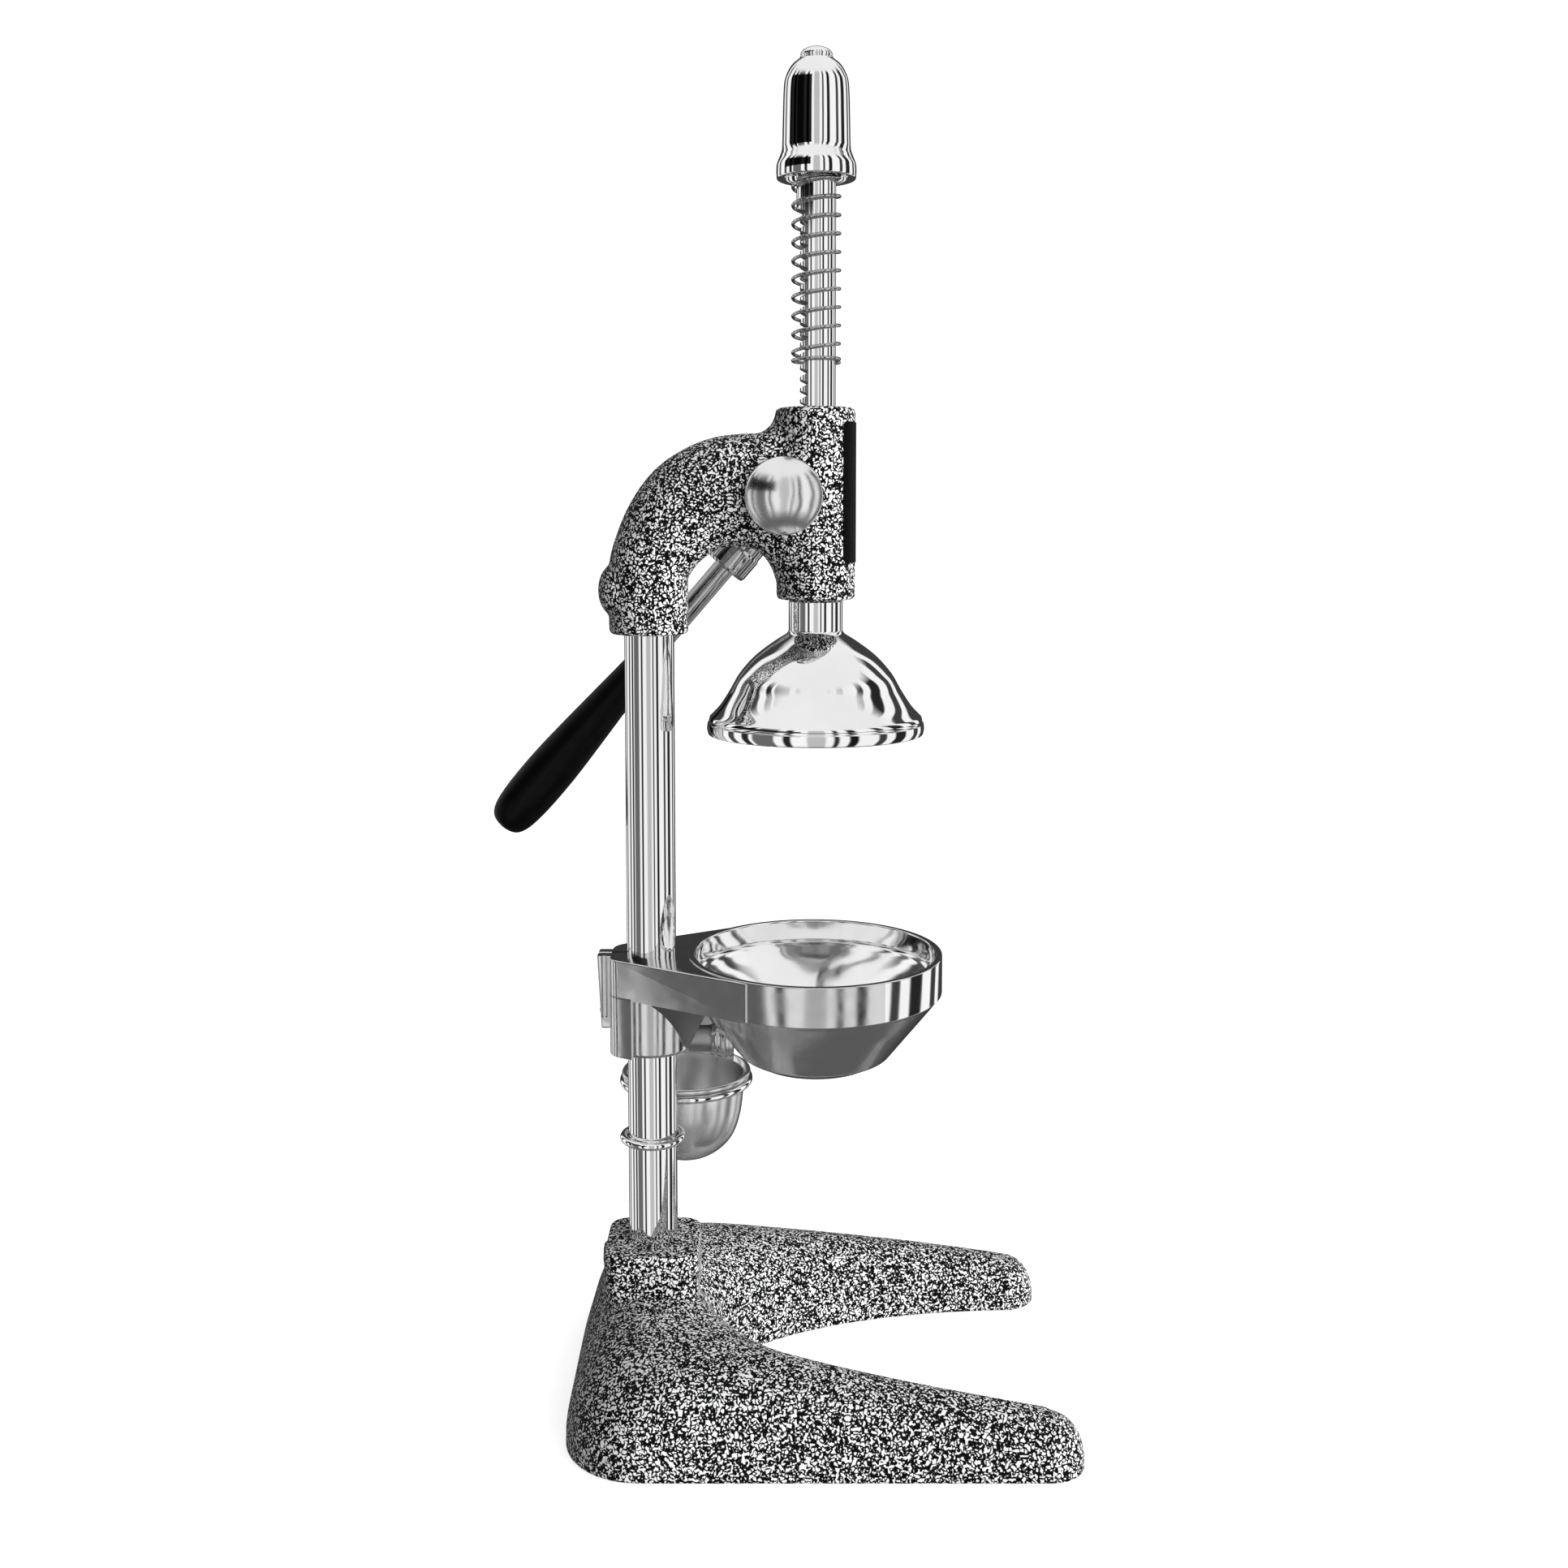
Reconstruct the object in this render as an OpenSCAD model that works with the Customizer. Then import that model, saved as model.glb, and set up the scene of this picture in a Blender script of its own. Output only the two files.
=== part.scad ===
// Hand-lever citrus press: a rack-and-pinion ram on a column stand, with a bowl bracket and a drip cup.
// Millimetres, +Z up. The origin is on the column's axis, in the plane that the feet stand on.
// +X points from the column towards the press, and the lever is on the +Y side.

/* [Column] */
// Outside diameter of the column tube
column_d = 25; // [20:0.5:30]
// Wall of the column tube
column_wall = 2.5; // [1.5:0.5:4]
// Distance from the column's axis to the press axis
press_x = 83.3; // [81:0.1:100]

/* [Base] */
// Full width of the base over both legs
base_w = 196; // [180:1:240]
// Reach of the base in front of the column's axis
base_front = 209; // [180:1:260]
// Reach of the base behind the column's axis
base_rear = 38; // [36:1:50]
// Radius of the two rear corners, seen from above
base_corner_r = 38; // [30:1:45]
// Height of the shoulder under the collar
shoulder_h = 55; // [50:1:65]
// Height of a leg at its toe
toe_h = 24.5; // [22:1:32]
// Width of a leg at its toe
toe_w = 35; // [30:1:38]
// Start of the gap between the legs, from the column's axis
notch_start = 36; // [34:1:45]
// Wall of the base casting
base_wall = 6; // [4:0.5:8]
// Width of the square collar round the column
collar_w = 47; // [40:1:52]
// Height of the collar's top
collar_h = 73; // [68:1:85]
// Height of the floor that the column stands on
socket_floor_h = 18; // [17:0.5:24]
// Thickness of that floor
socket_floor_t = 7; // [5:0.5:7]
// Thickness of the rubber soles
sole_t = 2.6; // [2:0.1:3]
// Radius of a small sole
pad_r = 11; // [8:0.5:11]

/* [Head] */
// Height of the column socket's lower edge
head_low = 386; // [360:1:420]
// Outside diameter of the gooseneck at the column
neck_d = 39; // [36:0.5:44]
// Depth that the column goes into the head
head_socket_l = 40; // [30:1:42]
// Outside diameter of the ram barrel
barrel_d = 38.8; // [37:0.2:44]
// Height of the barrel above the socket's lower edge, at its lower end
barrel_low_up = 17.3; // [15:0.1:22]
// Length of the ram barrel
barrel_l = 94.7; // [90:0.1:110]
// Height of the pinion's axis above the barrel's lower end
pinion_up = 51.2; // [45:0.1:55]

/* [Ram] */
// Diameter of the ram rod
rod_d = 19.5; // [18:0.1:20]
// Length of rod above the barrel when the ram is up
rod_above = 150; // [145:1:180]
// Module of the rack and pinion
gear_m = 1.75; // [1.5:0.05:2]
// Number of teeth on the pinion
gear_n = 11; // [10:1:12]
// Width of the flat that the rack teeth are cut into, as depth below the rod's surface
rack_flat = 1.83; // [1:0.01:2.5]
// Length of the rack above the barrel when the ram is up
rack_above = 96; // [90:1:110]
// Travel of the ram
ram_travel = 105; // [80:1:105]

/* [Bell] */
// Radius of the press bell's rim
bell_r = 54.6; // [50:0.1:57]
// Height of the bell below its neck
bell_h = 50.5; // [44:0.5:55]
// Diameter of the bell's neck
bell_neck_d = 27; // [25:0.5:30]
// Length of the bell's neck
bell_neck_l = 16.5; // [14:0.5:18]
// Wall of the bell
bell_wall = 3; // [2:0.5:4]

/* [Cap and spring] */
// Height of the spring cap
cap_h = 58.5; // [52:0.5:64]
// Radius of the cap's rim
cap_rim_r = 19.7; // [19:0.1:22]
// Radius of the cap's body
cap_r = 16.9; // [16.5:0.1:18]
// Outside diameter of the return spring
spring_d = 24.7; // [24.2:0.1:26]
// Wire diameter of the return spring
spring_wire = 1.8; // [1.4:0.1:2]
// Length of the relaxed return spring
spring_l = 127; // [110:1:127]
// Number of turns of the return spring
spring_turns = 16; // [12:1:20]

/* [Lever] */
// Distance of the lever's plane from the press plane
lever_y = 80; // [78:0.5:90]
// Lean of the parked lever from straight down
lever_lean = 40.7; // [0:0.1:60]
// Diameter of the lever rod
lever_rod_d = 12; // [10:0.5:14]
// Length from the pinion's axis to the end of the lever socket
lever_socket_l = 50; // [40:1:60]
// Diameter of the lever socket
lever_socket_d = 25; // [22:0.5:26]
// Length from the pinion's axis to the start of the grip
grip_start = 108; // [90:1:130]
// Length of the grip
grip_l = 132; // [100:1:135]
// Largest diameter of the grip
grip_d = 27; // [22:0.5:30]
// Diameter of the pinion shaft
shaft_d = 15.9; // [13:0.1:16]
// Radius of the dome cap on the near end of the shaft
dome_r = 18; // [16:0.5:20]
// Height of the dome above its skirt
dome_rise = 14; // [12:0.5:15]

/* [Bowl bracket] */
// Height of the bowl's rim
bowl_top = 224; // [200:1:226]
// Outside radius of the bowl ring
bowl_r = 64.6; // [62:0.1:65]
// Wall of the bowl ring
bowl_wall = 3.4; // [2.5:0.1:4]
// Height of the straight band under the rim
bowl_band = 20; // [16:0.5:24]
// Depth of the ledge below the rim
ledge_depth = 12.5; // [10:0.5:14]
// Height of the funnel-shaped body below the band
hopper_h = 37; // [30:0.5:42]
// Radius of the hopper's floor
hopper_floor_r = 29; // [27:0.5:34]
// Outside radius of the bracket's clamp barrel
clamp_r = 20; // [18:0.5:22]
// Height of the clamp barrel
clamp_h = 49; // [40:1:55]
// Diameter of the bracket's two clamp bolts
clamp_bolt_d = 4; // [3:0.5:4]

/* [Funnel] */
// Inside radius of the funnel's outlet
outlet_r = 13; // [10:0.5:16]
// Wall of the funnel
funnel_wall = 1.6; // [1.2:0.1:2.5]

/* [Drip cup] */
// Height of the wire loop on the column
loop_h = 127; // [115:0.5:135]
// Wire diameter of the cup holder
wire_d = 4.2; // [3.5:0.1:5]
// Distance from the column's axis to the cup's centre
cup_reach = 56.8; // [56:0.1:66]
// Direction of the parked cup, seen from above, from +X towards +Y
cup_turn = 75.7; // [30:0.1:150]
// Rim radius of the drip cup
cup_rim_r = 35.2; // [30:0.1:36]
// Height of the drip cup
cup_h = 48.5; // [40:0.5:52]
// Wall of the drip cup
cup_wall = 1.2; // [1:0.1:2]
// Height that the holder's ring stands above its loop
ring_rise = 10.8; // [8:0.1:14]

/* [Hidden] */
// Gap between pieces that move past each other
run_gap = 0.3;
// Radial clearance of a running fit
fit_gap = 0.06;
// Radial clearance of a fixed fit
seat_gap = 0.05;
$fn = 96;

column_r = column_d / 2;
column_top = head_low + head_socket_l;
column_in_r = column_r - column_wall;

rim_gap = 0.8;
base_half = base_w / 2;
toe_r = toe_w / 2;
notch_half = base_half - toe_w;
notch_l = base_front - notch_start - 8;
leg_y = base_half - toe_r;
sole_r = 28;
pad_front_x = base_front - toe_w * 0.75;
pad_rear_x = -base_rear + base_corner_r * 0.9;
pad_rear_y = base_half - base_corner_r * 0.75;
pad_spots = [[pad_front_x, leg_y], [pad_front_x, -leg_y], [pad_rear_x, pad_rear_y], [pad_rear_x, -pad_rear_y]];

bolt_r = 5;
washer_t = 1.6;
washer_r = 10;
bolt_head_h = 6;
bolt_head_r = 8.5;
bolt_l = 24;
set_screw_r = 3;
set_screw_l = 9;

neck_r = neck_d / 2;
barrel_r = barrel_d / 2;
barrel_low = head_low + barrel_low_up;
barrel_top = barrel_low + barrel_l;
rod_r = rod_d / 2;
bush_wall = 2;
bush_l = 16;
bush_r = rod_r + fit_gap + bush_wall;
barrel_bore_r = rod_r + 0.6;

gear_a = 25;
pitch_r = gear_m * gear_n / 2;
base_circle_r = pitch_r * cos(gear_a);
tip_r = pitch_r + gear_m;
root_r = pitch_r - 1.25 * gear_m;
tooth_gap = 0.2;
rack_add = 0.95 * gear_m;
rack_ded = 1.25 * gear_m;
rack_p = PI * gear_m;
rack_tip = rod_r - rack_flat;
rack_line = rack_tip - rack_add;
pinion_x = press_x - rack_line - pitch_r;
pinion_z = barrel_low + pinion_up;
pinion_half_w = 9.8;
shaft_r = shaft_d / 2;
cross_bore_r = tip_r + 0.6;
shaft_bush_l = 9;
near_y = -20.4;
far_y = 22;
housing_r = cross_bore_r + 6;
plate_half_a = 48;
plate_sink = 0.3;
plate_t = 0.9;
plate_l = 69;
plate_low = barrel_low + 18.5;
hub_r = 13;
thrust_t = 1.2;
hub_low_y = far_y + run_gap + thrust_t;
hub_high_y = lever_y + lever_socket_d / 2 + 2;

rod_low = barrel_low - bell_neck_l + 1.2;
rod_top = barrel_top + rod_above;
stud_r = 5;
bell_top = barrel_low - run_gap;
bell_base = bell_top - bell_neck_l - bell_h;
bell_web = 8;
bell_roof = rod_low - bell_web;

cap_top = rod_top + 19;
cap_low = cap_top - cap_h;
cap_in_r = spring_d / 2 + 2.2;
seat_t = 1.8;
spring_top = rod_top - seat_t;
spring_low = spring_top - spring_l;
nut_h = 4.6;
nut_r = 8;

ledge_z = bowl_top - ledge_depth;
band_low = bowl_top - bowl_band;
hopper_low = band_low - hopper_h;
ledge_w = 3.6;
bowl_in_r = bowl_r - bowl_wall;
body_in_r = bowl_in_r - ledge_w;
funnel_top = ledge_z + run_gap + funnel_wall;
pocket_r = bowl_in_r - 0.8;
pocket_top = funnel_top + 0.2;
arm_t = bowl_band;
arm_r = clamp_r + 2;
clamp_low = bowl_top - 1 - clamp_h;
lug_out = clamp_r + 7.2;
lug_low = clamp_low + 11;
lug_half = 7;
slit_w = 1.6;
rib_r = 8.8;
rib_web = 10;
rib_z = clamp_low + 6;
rib_l = press_x - clamp_r - hopper_floor_r - 2;
keel_x = clamp_r + 4;
keel_half = arm_r + 8;
clamp_bolt_r = clamp_bolt_d / 2;
clamp_bolt_head_r = clamp_bolt_r + 1;
clamp_bolt_x = -(lug_out - clamp_bolt_head_r);
clamp_bolt_z = [lug_low + 10, bowl_top - 11];
clamp_bolt_head = 3;
clamp_bolt_skin = 2.2;
clamp_bolt_end = clamp_bolt_skin - lug_half;

cup_c = [cup_reach * cos(cup_turn), cup_reach * sin(cup_turn)];
wire_r = wire_d / 2;
loop_r = column_r + fit_gap + wire_r;
ring_z = loop_h + ring_rise;
cup_body_r = cup_rim_r - 3.4;
ring_r = cup_body_r + run_gap + wire_r;
cup_top = ring_z + wire_r + run_gap + 3;
cup_low = cup_top - cup_h;

// A point on a circle, as [x, y]
function on_circle(c, r, a) = [c[0] + r * cos(a), c[1] + r * sin(a)];
// Points along an arc
function arc(c, r, a0, a1, n) = [for (i = [0:n]) on_circle(c, r, a0 + (a1 - a0) * i / n)];
// Half-width of the gap between the legs, at a share of its length
function notch_at(t) = notch_half * pow(1 - pow(1 - t, 2), 0.6);

// A tube standing on Z
module tube(r_out, r_in, z0, z1) {
    translate([0, 0, z0]) difference() {
        cylinder(r = r_out, h = z1 - z0);
        translate([0, 0, -1]) cylinder(r = r_in, h = z1 - z0 + 2);
    }
}

// Puts a piece that is drawn along Z onto the Y axis of the pinion, from y0 on
module on_shaft(y0) {
    translate([pinion_x, y0, pinion_z]) rotate([-90, 0, 0]) children();
}

// Puts a piece that is drawn along Z onto the lever
module on_lever() {
    translate([pinion_x, lever_y, pinion_z]) rotate([0, 180 + lever_lean, 0]) children();
}

// ---- Base ----

// Outline of the base from above, moved inwards by w
module base_plan(w) {
    steps = 12;
    half_notch = [for (i = [0:steps]) [notch_start - w + (notch_l + w) * i / steps, notch_at(i / steps) + w]];
    toe = [pad_front_x + toe_w * 0.75 - toe_r, leg_y];
    side = concat(arc(toe, toe_r - w, -90, 90, 12),
        arc([-base_rear + base_corner_r, base_half - base_corner_r], base_corner_r - w, 90, 180, 8));
    other = [for (i = [len(side) - 1:-1:0]) [side[i][0], -side[i][1]]];
    back_notch = [for (i = [steps:-1:1]) [half_notch[i][0], -half_notch[i][1]]];
    polygon(concat(side, other, back_notch, half_notch));
}

// Side view of the base, lowered by w
module base_side(w) {
    x_front = base_front - w;
    polygon([[-base_rear + w, -1], [-base_rear + w, 14], [-base_rear + 3 + w, 32 - w],
        [-collar_w / 2 + w, shoulder_h - w], [collar_w / 2, shoulder_h - w],
        [notch_start, shoulder_h - 6 - w], [base_front * 0.45, toe_h + 13.5 - w],
        [base_front * 0.66, toe_h + 7 - w], [base_front - toe_w / 2, toe_h - w],
        [x_front - 4, toe_h - 9 - w], [x_front, 10], [x_front, -1]]);
}

// Front view of the base, narrowed by w
module base_front_view(w) {
    half = [[base_half - w, -1], [base_half - w, 9], [base_half - 4 - w, 27 - w],
        [base_half - 13 - w, 39 - w], [base_half - 33, 47 - w], [collar_w / 2, shoulder_h - w]];
    other = [for (i = [len(half) - 1:-1:0]) [-half[i][0], half[i][1]]];
    polygon(concat(half, other));
}

// Body of the base, moved inwards by w and standing on z0
module base_form(w, z0) {
    intersection() {
        translate([0, 0, z0]) linear_extrude(shoulder_h) base_plan(w);
        rotate([90, 0, 0]) linear_extrude(base_w + 4, center = true) base_side(w);
        rotate([90, 0, 90]) linear_extrude(2 * base_front + 4, center = true) base_front_view(w);
    }
}

module base_casting() {
    color([0.62, 0.62, 0.63]) difference() {
        union() {
            difference() {
                base_form(0, rim_gap);
                difference() {
                    base_form(base_wall, -1);
                    cylinder(r = sole_r, h = shoulder_h);
                    for (p = pad_spots) translate([p[0], p[1], 0]) cylinder(r = pad_r, h = shoulder_h);
                }
            }
            translate([0, 0, shoulder_h - 10]) linear_extrude(collar_h - shoulder_h + 10) intersection() {
                circle(r = collar_w * 0.6);
                square(collar_w, center = true);
            }
            translate([-collar_w / 2 - 4, 0, collar_h - 9]) rotate([0, 90, 0]) cylinder(r = 6, h = 6);
        }
        translate([0, 0, socket_floor_h]) cylinder(r = column_r + seat_gap, h = collar_h);
        translate([0, 0, -1]) cylinder(r = bolt_r + 0.3, h = socket_floor_h + 2);
        translate([0, 0, -1]) cylinder(r = 14, h = socket_floor_h - socket_floor_t + 1);
        translate([0, 0, -1]) cylinder(r = sole_r + 0.4, h = sole_t + 1);
        for (p = pad_spots) translate([p[0], p[1], -1]) cylinder(r = pad_r + 0.4, h = sole_t + 1);
        translate([-collar_w / 2 - 5, 0, collar_h - 9]) rotate([0, 90, 0])
            cylinder(r = set_screw_r + seat_gap, h = collar_w / 2);
    }
}

module base_soles() {
    color([0.06, 0.06, 0.06]) {
        cylinder(r = sole_r, h = sole_t);
        for (p = pad_spots) translate([p[0], p[1], 0]) cylinder(r = pad_r, h = sole_t);
    }
}

module base_set_screw() {
    color([0.35, 0.35, 0.36]) translate([-column_r - seat_gap - set_screw_l, 0, collar_h - 9])
        rotate([0, 90, 0]) difference() {
            cylinder(r = set_screw_r, h = set_screw_l);
            translate([0, 0, -1]) cylinder(r = 1.6, h = 4, $fn = 6);
        }
}

// ---- Column ----

module column_tube() {
    color([0.8, 0.8, 0.82]) tube(column_r, column_in_r, socket_floor_h, column_top);
}

module column_foot_plug() {
    color([0.5, 0.5, 0.52]) tube(column_in_r - seat_gap, bolt_r + seat_gap, socket_floor_h, socket_floor_h + 26);
}

module column_bolt() {
    seat_z = socket_floor_h - socket_floor_t - washer_t;
    color([0.45, 0.45, 0.46]) {
        translate([0, 0, seat_z - bolt_head_h]) cylinder(r = bolt_head_r, h = bolt_head_h, $fn = 6);
        translate([0, 0, seat_z]) cylinder(r = bolt_r, h = bolt_l);
    }
}

module column_bolt_washer() {
    top_z = socket_floor_h - socket_floor_t;
    color([0.6, 0.6, 0.6]) tube(washer_r, bolt_r + 0.3, top_z - washer_t, top_z);
}

// ---- Head ----

// A thin oval section between two points of the gooseneck's side view
module neck_section(p_in, p_out, half_w) {
    d = p_out - p_in;
    mid = (p_out + p_in) / 2;
    translate([mid[0], 0, mid[1]]) rotate([0, -atan2(d[1], d[0]), 0])
        scale([norm(d) / 2 / half_w, 1, 1]) cylinder(r = half_w, h = 0.4, center = true, $fn = 36);
}

// Side-view points under and over the gooseneck, at an angle round the bend
function neck_in(a) = [press_x / 2 - 0.6 - (press_x / 2 - 0.6 - neck_r + 1) * cos(a), head_low + 23 + 20.5 * sin(a)];
function neck_out(a) = [press_x / 2 - (press_x / 2 + neck_r - 2) * cos(a), head_low + 36 + 60 * sin(a)];

module gooseneck() {
    lower = [[-neck_r, head_low + 14], [neck_r, head_low + 14]];
    angles = [10, 32, 54, 76];
    near = press_x - barrel_r - 2;
    stations = concat([[lower[1], lower[0]]], [for (a = angles) [neck_in(a), neck_out(a)]],
        [[[near, head_low + 38], [near, head_low + 98.5]], [[press_x, head_low + 34], [press_x, head_low + 98.5]]]);
    for (i = [0:len(stations) - 2]) hull() {
        neck_section(stations[i][0], stations[i][1], neck_r);
        neck_section(stations[i + 1][0], stations[i + 1][1], neck_r);
    }
}

module head_casting() {
    boss_z = head_low + 22;
    color([0.62, 0.62, 0.63]) difference() {
        union() {
            gooseneck();
            translate([0, 0, head_low]) cylinder(r = neck_r, h = head_socket_l - 10);
            translate([press_x, 0, barrel_low]) rotate_extrude() polygon(concat([[0, 0]],
                arc([barrel_r - 2, 2], 2, -90, 0, 4), arc([barrel_r - 2, barrel_l - 2], 2, 0, 90, 4), [[0, barrel_l]]));
            on_shaft(near_y) cylinder(r = housing_r, h = far_y - near_y);
            translate([-neck_r - 5, 0, boss_z]) rotate([0, 90, 0]) cylinder(r = 11, h = 12);
        }
        translate([0, 0, head_low - 1]) cylinder(r = column_r + seat_gap, h = head_socket_l + 1);
        translate([press_x, 0, barrel_low - 1]) cylinder(r = barrel_bore_r, h = barrel_l + 2);
        translate([press_x, 0, barrel_low - 1]) cylinder(r = bush_r + seat_gap, h = bush_l + 1);
        translate([press_x, 0, barrel_top - bush_l]) cylinder(r = bush_r + seat_gap, h = bush_l + 1);
        on_shaft(near_y - 1) cylinder(r = cross_bore_r, h = far_y - near_y + 2);
        translate([-neck_r - 8, 0, boss_z]) rotate([0, 90, 0]) cylinder(r = set_screw_r + seat_gap, h = neck_r + 2);
        translate([press_x, 0, 0]) rotate([0, 0, -plate_half_a - 1]) translate([0, 0, plate_low - 0.1])
            rotate_extrude(angle = 2 * plate_half_a + 2) translate([barrel_r - plate_sink, 0])
                square([plate_sink + 1, plate_l + 0.2]);
    }
}

module front_nameplate() {
    color([0.02, 0.02, 0.02]) translate([press_x, 0, plate_low]) rotate([0, 0, -plate_half_a])
        rotate_extrude(angle = 2 * plate_half_a) translate([barrel_r - plate_sink + seat_gap, 0])
            square([plate_t, plate_l]);
}

module head_set_screw() {
    color([0.35, 0.35, 0.36]) translate([-column_r - seat_gap - set_screw_l, 0, head_low + 22])
        rotate([0, 90, 0]) difference() {
            cylinder(r = set_screw_r, h = set_screw_l);
            translate([0, 0, -1]) cylinder(r = 1.6, h = 4, $fn = 6);
        }
}

module barrel_bush_top() {
    color([0.72, 0.55, 0.25]) translate([press_x, 0, 0])
        tube(bush_r, rod_r + fit_gap, barrel_top - bush_l, barrel_top - 0.4);
}

module barrel_bush_bottom() {
    color([0.72, 0.55, 0.25]) translate([press_x, 0, 0])
        tube(bush_r, rod_r + fit_gap, barrel_low + 0.4, barrel_low + bush_l);
}

module pinion_bush_near() {
    color([0.72, 0.55, 0.25]) on_shaft(near_y) tube(cross_bore_r - seat_gap, shaft_r + fit_gap, 0, shaft_bush_l);
}

module pinion_bush_far() {
    color([0.72, 0.55, 0.25]) on_shaft(far_y - shaft_bush_l - 1.5)
        tube(cross_bore_r - seat_gap, shaft_r + fit_gap, 0, shaft_bush_l + 1.5);
}

// ---- Ram ----

// Side view of what is cut from the rod: a flat with rack teeth left standing on it
module rack_cut() {
    count = floor((rack_above + barrel_top - pinion_z + 20) / rack_p);
    first = pinion_z - 4 * rack_p;
    half_tip = rack_p / 4 - rack_add * tan(gear_a);
    half_root = rack_p / 4 + rack_ded * tan(gear_a);
    teeth = [for (i = [0:count - 1]) let (z = first + (i + 0.5) * rack_p)
        each [[-(rack_line - rack_ded), z - half_root], [-rack_tip, z - half_tip],
            [-rack_tip, z + half_tip], [-(rack_line - rack_ded), z + half_root]]];
    last = first + count * rack_p;
    polygon(concat([[-rod_r - 2, first - 3], [-(rack_line - rack_ded), first]], teeth,
        [[-(rack_line - rack_ded), last], [-rod_r - 2, last + 3]]));
}

module rack_rod() {
    color([0.85, 0.85, 0.87]) difference() {
        translate([press_x, 0, 0]) {
            translate([0, 0, rod_low]) cylinder(r = rod_r, h = rod_top - rod_low);
            translate([0, 0, rod_top]) cylinder(r = stud_r, h = cap_top - rod_top + 2.6);
        }
        translate([press_x, 0, 0]) rotate([90, 0, 0]) linear_extrude(2 * rod_r + 2, center = true) rack_cut();
        translate([press_x, 0, rod_low - 1]) cylinder(r = 4 + seat_gap, h = 19);
    }
}

module press_bell() {
    r = bell_r;
    z = bell_base;
    neck = bell_neck_d / 2;
    neck_z = bell_top - bell_neck_l;
    roof = [neck, neck_z];
    h = bell_h;
    outer = [[r - 0.9, z], [r, z + 0.06 * h], [r - 0.8, z + 0.14 * h], [r - 6.4, z + 0.26 * h],
        [r - 11.8, z + 0.44 * h], [r - 16.2, z + 0.6 * h], [r - 23.6, z + 0.76 * h],
        [r - 32.6, z + 0.9 * h], roof];
    inner = [[rod_r + 1, bell_roof], [r - 32.6 - bell_wall, z + 0.9 * h - bell_wall],
        [r - 23.6 - bell_wall, z + 0.76 * h - bell_wall], [r - 16.2 - bell_wall, z + 0.6 * h - bell_wall],
        [r - 11.8 - bell_wall, z + 0.44 * h - bell_wall], [r - 6.4 - bell_wall, z + 0.26 * h - bell_wall],
        [r - bell_wall - 1, z + 0.1 * h], [r - bell_wall - 1, z]];
    color([0.9, 0.9, 0.92]) translate([press_x, 0, 0]) difference() {
        rotate_extrude() polygon(concat([[0, bell_roof]], inner, outer,
            [[neck, bell_top - 0.8], [neck - 0.8, bell_top], [0, bell_top]]));
        translate([0, 0, rod_low]) cylinder(r = rod_r + seat_gap, h = bell_neck_l + 2);
        translate([0, 0, bell_roof - 5]) cylinder(r = 4.3, h = 20);
    }
}

module bell_screw() {
    color([0.7, 0.7, 0.72]) translate([press_x, 0, 0]) {
        translate([0, 0, bell_roof]) cylinder(r = 4, h = bell_web + 14);
        translate([0, 0, bell_roof - 5]) difference() {
            cylinder(r = 7, h = 5);
            translate([0, 0, -1]) cylinder(r = 3.4, h = 4, $fn = 6);
        }
    }
}

module spring_cap() {
    shoulder = 12;
    z = cap_low;
    outer = concat([[cap_rim_r - 0.6, z], [cap_rim_r, z + 0.6], [cap_rim_r, z + 4], [cap_rim_r - 1, z + 7.5],
        [cap_r + 0.4, z + 11.5], [cap_r, z + 15]],
        arc([cap_r - 0.7 - shoulder, cap_top - shoulder], shoulder, 0, 72, 8), [[0, cap_top]]);
    color([0.9, 0.9, 0.92]) translate([press_x, 0, 0]) difference() {
        rotate_extrude() polygon(concat([[0, rod_top], [cap_in_r, rod_top], [cap_in_r, z]], outer));
        translate([0, 0, rod_top - 1]) cylinder(r = stud_r + 0.15, h = cap_top);
    }
}

module cap_nut() {
    color([0.9, 0.9, 0.92]) translate([press_x, 0, cap_top]) difference() {
        intersection() {
            cylinder(r = nut_r, h = nut_h);
            translate([0, 0, nut_h - 11]) sphere(r = 11);
        }
        translate([0, 0, -1]) cylinder(r = stud_r + seat_gap, h = 3.8);
    }
}

module spring_seat_washer() {
    color([0.6, 0.6, 0.6]) translate([press_x, 0, 0]) tube(cap_in_r - 0.2, rod_r + 0.1, rod_top - seat_t, rod_top);
}

// Height share of the spring's wire at a share of its length, with closed end turns
function coil_rise(t) = let (closed = 1.2 / spring_turns, low = spring_wire * 1.2 / (spring_l - spring_wire))
    t < closed ? low * t / closed
    : t > 1 - closed ? 1 - low * (1 - t) / closed
    : low + (1 - 2 * low) * (t - closed) / (1 - 2 * closed);

module return_spring() {
    per_turn = 14;
    sides = 6;
    count = spring_turns * per_turn;
    wire = spring_wire / 2;
    r = spring_d / 2 - wire;
    z0 = spring_low + wire + 0.05;
    rise = spring_l - spring_wire - 0.1;
    rings = [for (i = [0:count]) let (a = 360 * i / per_turn, z = z0 + rise * coil_rise(i / count))
        for (j = [0:sides - 1]) let (b = 360 * j / sides, q = r + wire * cos(b))
            [q * cos(a), q * sin(a), z + wire * sin(b)]];
    walls = [for (i = [0:count - 1]) for (j = [0:sides - 1]) let (k = (j + 1) % sides, s = i * sides)
        [s + j, s + sides + j, s + sides + k, s + k]];
    start = [for (j = [0:sides - 1]) j];
    stop = [for (j = [sides - 1:-1:0]) count * sides + j];
    color([0.85, 0.85, 0.87]) translate([press_x, 0, 0]) polyhedron(rings, concat(walls, [start, stop]), 4);
}

// ---- Lever and pinion ----

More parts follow.
